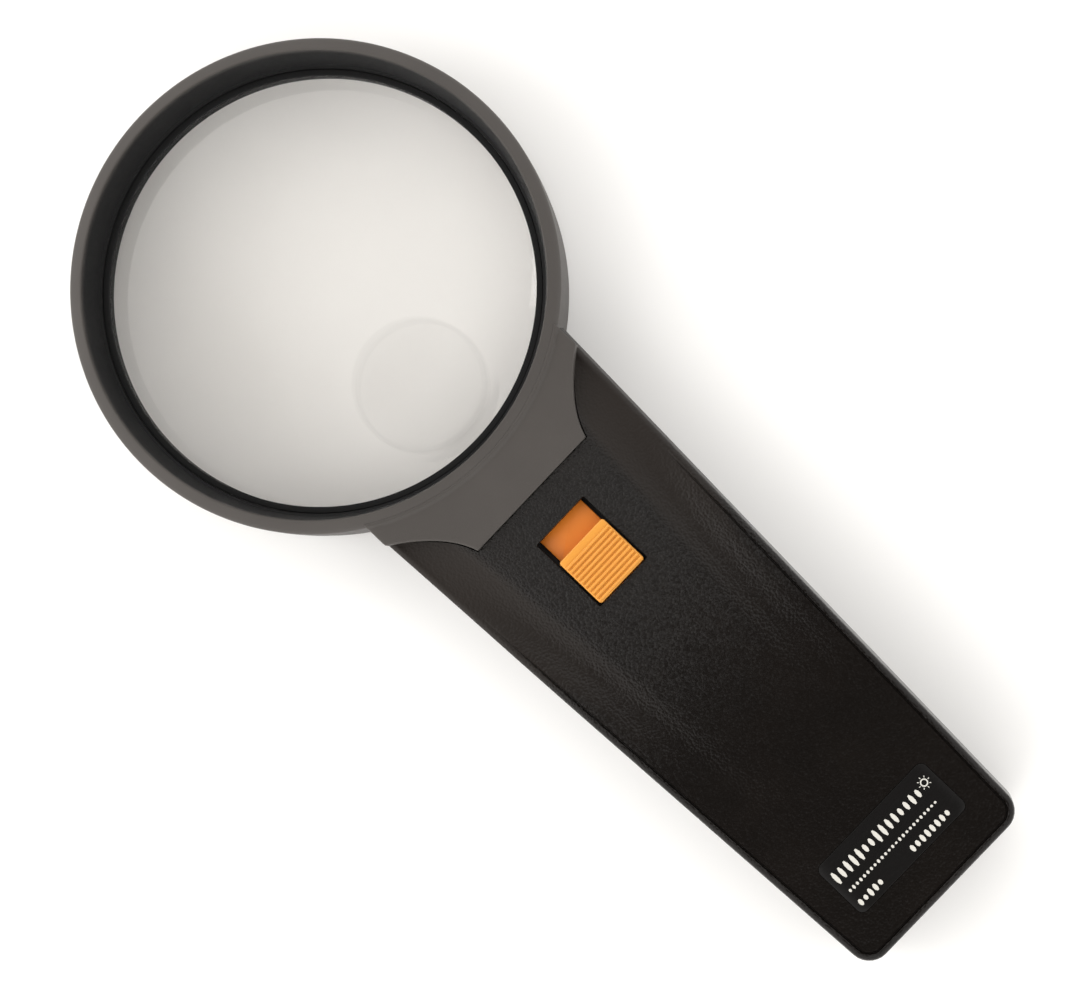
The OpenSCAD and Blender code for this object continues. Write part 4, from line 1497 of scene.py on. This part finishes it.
class MAGNIFIER_OT_springs(Operator):
    """Conical contact springs of the cell bay"""

    bl_idname = "magnifier.springs"
    bl_label = "Contact springs"

    def execute(self, context):
        g = NodeSheet("coil_tree")
        turns, wide, narrow = g.number("Turns"), g.number("Wide"), g.number("Narrow")
        length, wire = g.number("Length"), g.number("Wire")
        coil = g.add("GeometryNodeCurveSpiral", None,
                     {"Resolution": 28, "Rotations": turns, "Start Radius": wide,
                      "End Radius": narrow, "Height": length})
        ring = g.add("GeometryNodeCurvePrimitiveCircle", {"mode": "RADIUS"},
                     {"Resolution": 10, "Radius": wire})
        tube = g.add("GeometryNodeCurveToMesh", None,
                     {"Curve": coil.outputs[0], "Profile Curve": ring.outputs[0],
                      "Fill Caps": True})
        g.finish(tube.outputs[0], spring_nickel())
        wire_r = 0.4 * MM
        for node, toward_lens in (("head_spring", False), ("tail_spring", True)):
            low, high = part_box(node)
            span = high.y - low.y - 2 * wire_r
            coil = g.run(node + "_coil", {"Turns": 4.0, "Wide": 5.4 * MM, "Narrow": 3.2 * MM,
                                          "Length": span, "Wire": wire_r})
            centre = Vector(((low.x + high.x) / 2, 0, (low.z + high.z) / 2))
            start = low.y + wire_r if toward_lens else high.y - wire_r
            turn = Matrix.Rotation(-math.pi / 2 if toward_lens else math.pi / 2, 4, "X")
            coil.data.transform(Matrix.Translation((centre.x, start, centre.z)) @ turn)
            finish_piece(coil, BODY_CASE, spring_nickel(), (node,),
                         math.radians(60))
        return {"FINISHED"}


class MAGNIFIER_OT_inner_parts(Operator):
    """Finishes of the lamp, the cells, the strips and the switch works"""

    bl_idname = "magnifier.inner_parts"
    bl_label = "Inner parts"

    def execute(self, context):
        finishes = {
            "light_window": frosted_clear, "reflector": reflector_white, "bulb_glass": lamp_glass,
            "bulb_filament": spring_nickel, "bulb_base": lamp_brass, "bulb_tip": dull_solder,
            "bulb_socket": lamp_brass, "bulb_holder": holder_cream, "switch_contact": strip_metal,
            "switch_plate": guide_black, "lamp_strip": strip_metal, "positive_strip": strip_metal,
            "return_strip": strip_metal, "series_bridge": strip_metal, "left_cell": cell_jacket,
            "right_cell": cell_jacket,
        }
        for node, finish in finishes.items():
            for slot in frame["nodes"][node].material_slots:
                slot.material = finish()
        return {"FINISHED"}


class MAGNIFIER_OT_stage(Operator):
    """Camera, floor and soft studio light"""

    bl_idname = "magnifier.stage"
    bl_label = "Stage"

    def execute(self, context):
        s = context.scene.magnifier_stage
        aim = Vector((0.4 * MM, -1.6 * MM, CAD_HIGH.z))
        back = Vector((math.tan(s.lean_side), -math.tan(s.lean_tail), 1)).normalized()
        up = Vector((math.sin(s.roll), math.cos(s.roll), 0))
        up = (up - up.dot(back) * back).normalized()
        right = up.cross(back)
        camera = bpy.data.objects.new("camera", bpy.data.cameras.new("camera"))
        place = aim + back * s.distance
        turn = Matrix((right, up, back)).transposed().to_4x4()
        camera.matrix_world = Matrix.Translation(place) @ turn
        camera.data.lens = s.focal_length
        camera.data.sensor_width = 36.0
        camera.data.clip_start = 0.01
        context.scene.collection.objects.link(camera)
        context.scene.camera = camera

        size = 4.0
        corners = [(-size, -size, 0), (size, -size, 0), (size, size, 0), (-size, size, 0)]
        floor = new_object("floor", corners, [(0, 1, 2, 3)])
        p = PaintSheet("pale_floor")
        soft = p.noise(12, 2.0)
        pale = p.blend(soft, (0.90, 0.895, 0.885), (0.92, 0.915, 0.905))
        floor.data.materials.append(p.close(p.gloss(colour=pale, rough=0.8, specular=0.2)))

        sky = PaintSheet("room", world=True)
        height = sky.add("ShaderNodeSeparateXYZ", None, {"Vector": sky.place}, out="Z")
        toward_key = sky.add("ShaderNodeVectorMath", {"operation": "DOT_PRODUCT"},
                             {0: sky.place, 1: Vector(s.key_direction).normalized()}, out="Value")
        level = (1 - height.between(0.75, 0.98) * 0.93) * s.world_strength
        level = level * (toward_key * 0.12 + 1.0)
        level = level + toward_key.between(0.9, 1.0) * s.key_glow
        context.scene.world = sky.close(sky.add("ShaderNodeBackground", None, {
            "Color": (1.0, 0.985, 0.965, 1.0), "Strength": level}))
        self.softbox("key_light", Vector(s.key_direction) * 1.3, s.key_power)
        self.softbox("right_fill", (0.75, -0.9, 0.5), s.fill_power * 0.3)
        self.softbox("left_fill", (-1.0, -0.35, 0.5), s.fill_power * 2.6)
        context.scene.view_settings.view_transform = "Standard"
        return {"FINISHED"}

    @staticmethod
    def softbox(name, place, power):
        """Square light aimed at the object, left out of its gloss."""
        data = bpy.data.lights.new(name, "AREA")
        data.shape = "SQUARE"
        data.size = 0.5
        data.energy = power
        light = bpy.data.objects.new(name, data)
        light.location = place
        light.visible_glossy = False
        light.rotation_mode = "QUATERNION"
        light.rotation_quaternion = (-Vector(place)).to_track_quat("-Z", "Y")
        bpy.context.scene.collection.objects.link(light)


class MAGNIFIER_PT_panel(Panel):
    """Sidebar panel with every step of the build"""

    bl_idname = "MAGNIFIER_PT_panel"
    bl_label = "Low Vision Magnifier"
    bl_space_type = "VIEW_3D"
    bl_region_type = "UI"
    bl_category = "Magnifier"

    def draw(self, context):
        layout = self.layout
        for group in (context.scene.magnifier_handle, context.scene.magnifier_switch,
                      context.scene.magnifier_colours, context.scene.magnifier_stage):
            box = layout.box()
            for name in group.__annotations__:
                box.prop(group, name)
        for step in STEPS:
            layout.operator(step.bl_idname)


STEPS = (
    MAGNIFIER_OT_lens_frame, MAGNIFIER_OT_retaining_ring, MAGNIFIER_OT_lens,
    MAGNIFIER_OT_front_shell, MAGNIFIER_OT_rear_shell, MAGNIFIER_OT_battery_cover,
    MAGNIFIER_OT_thumb_switch, MAGNIFIER_OT_label, MAGNIFIER_OT_screws, MAGNIFIER_OT_springs,
    MAGNIFIER_OT_inner_parts, MAGNIFIER_OT_stage,
)
SETTINGS = {
    "magnifier_handle": MagnifierHandleSettings,
    "magnifier_switch": MagnifierSwitchSettings,
    "magnifier_colours": MagnifierColourSettings,
    "magnifier_stage": MagnifierStageSettings,
}


def register():
    for group in SETTINGS.values():
        bpy.utils.register_class(group)
    for step in STEPS:
        bpy.utils.register_class(step)
    bpy.utils.register_class(MAGNIFIER_PT_panel)
    for name, group in SETTINGS.items():
        setattr(bpy.types.Scene, name, PointerProperty(type=group))


def unregister():
    for name in SETTINGS:
        delattr(bpy.types.Scene, name)
    bpy.utils.unregister_class(MAGNIFIER_PT_panel)
    for step in reversed(STEPS):
        bpy.utils.unregister_class(step)
    for group in reversed(SETTINGS.values()):
        bpy.utils.unregister_class(group)


def main():
    register()
    for step in STEPS:
        getattr(bpy.ops.magnifier, step.bl_idname.split(".")[1])()


if __name__ == "__main__":
    main()
